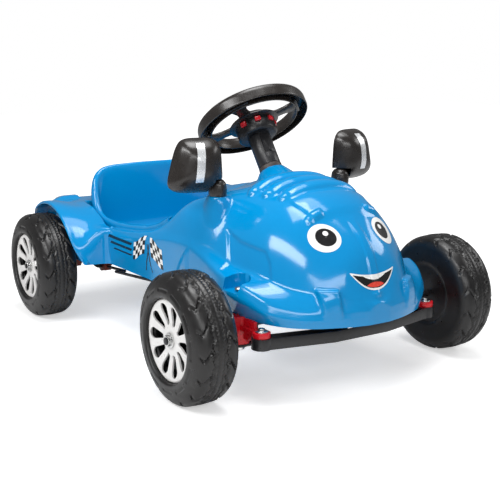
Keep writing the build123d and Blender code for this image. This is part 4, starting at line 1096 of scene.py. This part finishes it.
# Name, place, target, size, power.
LIGHTS = (
    ("key", (0.5, -1.9, 1.7), (0.1, 0, 0.2), (2.1, 0.45), 32),
    ("top", (0.1, 0.2, 2.5), (0.1, 0, 0.2), (1.5, 1.5), 22),
    ("front", (2.2, -1.0, 1.15), (0.3, 0, 0.25), (1.9, 0.45), 15.5),
    ("far", (0.8, 2.0, 1.5), (0.1, 0, 0.25), (1.3, 0.6), 12),
    ("seat", (0.15, -0.15, 1.2), (-0.25, 0, 0.2), (0.5, 0.5), 5),
)
WHITE = (1, 1, 1, 1)
ROOM_LIGHT = 0.24
FLOOR_REACH = 6.0
CAMERA_PLACE = (1.608, -1.013, 0.5785)
CAMERA_YAW, CAMERA_PITCH, CAMERA_ROLL = radians(146.80), radians(-12.165), radians(0.167)
LENS, SENSOR_WIDTH = 69.0, 36


def area_light(name, place, target, size, power):
    """A soft box that looks at a point."""
    data = bpy.data.lights.new(name, "AREA")
    data.shape = "RECTANGLE"
    data.size, data.size_y = size
    data.energy = power
    lamp = bpy.data.objects.new(name, data)
    bpy.context.scene.collection.objects.link(lamp)
    lamp.location = place
    lamp.rotation_euler = (Vector(target) - Vector(place)).to_track_quat("-Z", "Y").to_euler()


def brighten(look):
    """Lift the floor towards white for the camera, more so away from the kart."""
    links = look.node_tree.links
    far = add_node(look, "VectorMath")
    far.operation = "LENGTH"
    links.new(add_node(look, "TexCoord").outputs["Object"], far.inputs[0])
    rise = add_node(look, "MapRange", From_Min=0.7, From_Max=2.6, To_Min=0.50, To_Max=1.0)
    links.new(far.outputs["Value"], rise.inputs["Value"])
    gain = add_node(look, "Math")
    gain.operation = "MULTIPLY"
    links.new(rise.outputs["Result"], gain.inputs[0])
    links.new(add_node(look, "LightPath").outputs["Is Camera Ray"], gain.inputs[1])
    shader = look.node_tree.nodes["Principled BSDF"]
    shader.inputs["Emission Color"].default_value = WHITE
    links.new(gain.outputs["Value"], shader.inputs["Emission Strength"])


def build_room():
    """White surroundings: bright to the camera, dim as a light."""
    world = bpy.data.worlds.new("studio")
    bpy.context.scene.world = world
    world.use_nodes = True
    nodes, links = world.node_tree.nodes, world.node_tree.links
    dim = nodes["Background"]
    dim.inputs["Color"].default_value = WHITE
    dim.inputs["Strength"].default_value = ROOM_LIGHT
    seen = add_node(world, "Background", Color=WHITE, Strength=1.0)
    mix = add_node(world, "MixShader")
    links.new(add_node(world, "LightPath").outputs["Is Camera Ray"], mix.inputs["Fac"])
    links.new(dim.outputs["Background"], mix.inputs[1])
    links.new(seen.outputs["Background"], mix.inputs[2])
    links.new(mix.outputs["Shader"], nodes["World Output"].inputs["Surface"])


def build_floor():
    """The white floor, which is part of the stage."""
    look = material("floor", (0.86, 0.86, 0.86), (0.88, 0.88, 0.88), 0.6, patches=2, grain=50, relief=0.0)
    brighten(look)
    mesh = bpy.data.meshes.new("floor")
    corners = [(x * FLOOR_REACH, y * FLOOR_REACH, 0) for x, y in ((-1, -1), (1, -1), (1, 1), (-1, 1))]
    mesh.from_pydata(corners, [], [(0, 1, 2, 3)])
    mesh.materials.append(look)
    floor = bpy.data.objects.new("floor", mesh)
    bpy.context.scene.collection.objects.link(floor)


def build_camera():
    """The camera fitted to the photograph."""
    camera = bpy.data.objects.new("camera", bpy.data.cameras.new("camera"))
    bpy.context.scene.collection.objects.link(camera)
    camera.location = CAMERA_PLACE
    level = cos(CAMERA_PITCH)
    forward = Vector((cos(CAMERA_YAW) * level, sin(CAMERA_YAW) * level, sin(CAMERA_PITCH)))
    camera.rotation_mode = "QUATERNION"
    camera.rotation_quaternion = forward.to_track_quat("-Z", "Y") @ Quaternion((0, 0, 1), CAMERA_ROLL)
    camera.data.lens = LENS
    camera.data.sensor_width = SENSOR_WIDTH
    bpy.context.scene.camera = camera


def build_studio():
    """Room, floor, lights and camera."""
    bpy.context.scene.view_settings.view_transform = "Standard"
    build_room()
    build_floor()
    for light in LIGHTS:
        area_light(*light)
    build_camera()


shell = build_body()
build_tub()
build_deck()
for corner, (x, side) in WHEELS.items():
    build_wheel(corner, x, side)
build_steering()
shell_skin = skin_of(shell)
for name, side in SIDES.items():
    build_housing(name, side)
    build_glass(name, side)
    build_lobe(name, side)
    build_eye(name, side, shell_skin)
    build_flags(side, name, shell_skin)
    build_stripes(side, name, shell_skin)
build_smile(shell_skin)
build_rest()
build_studio()
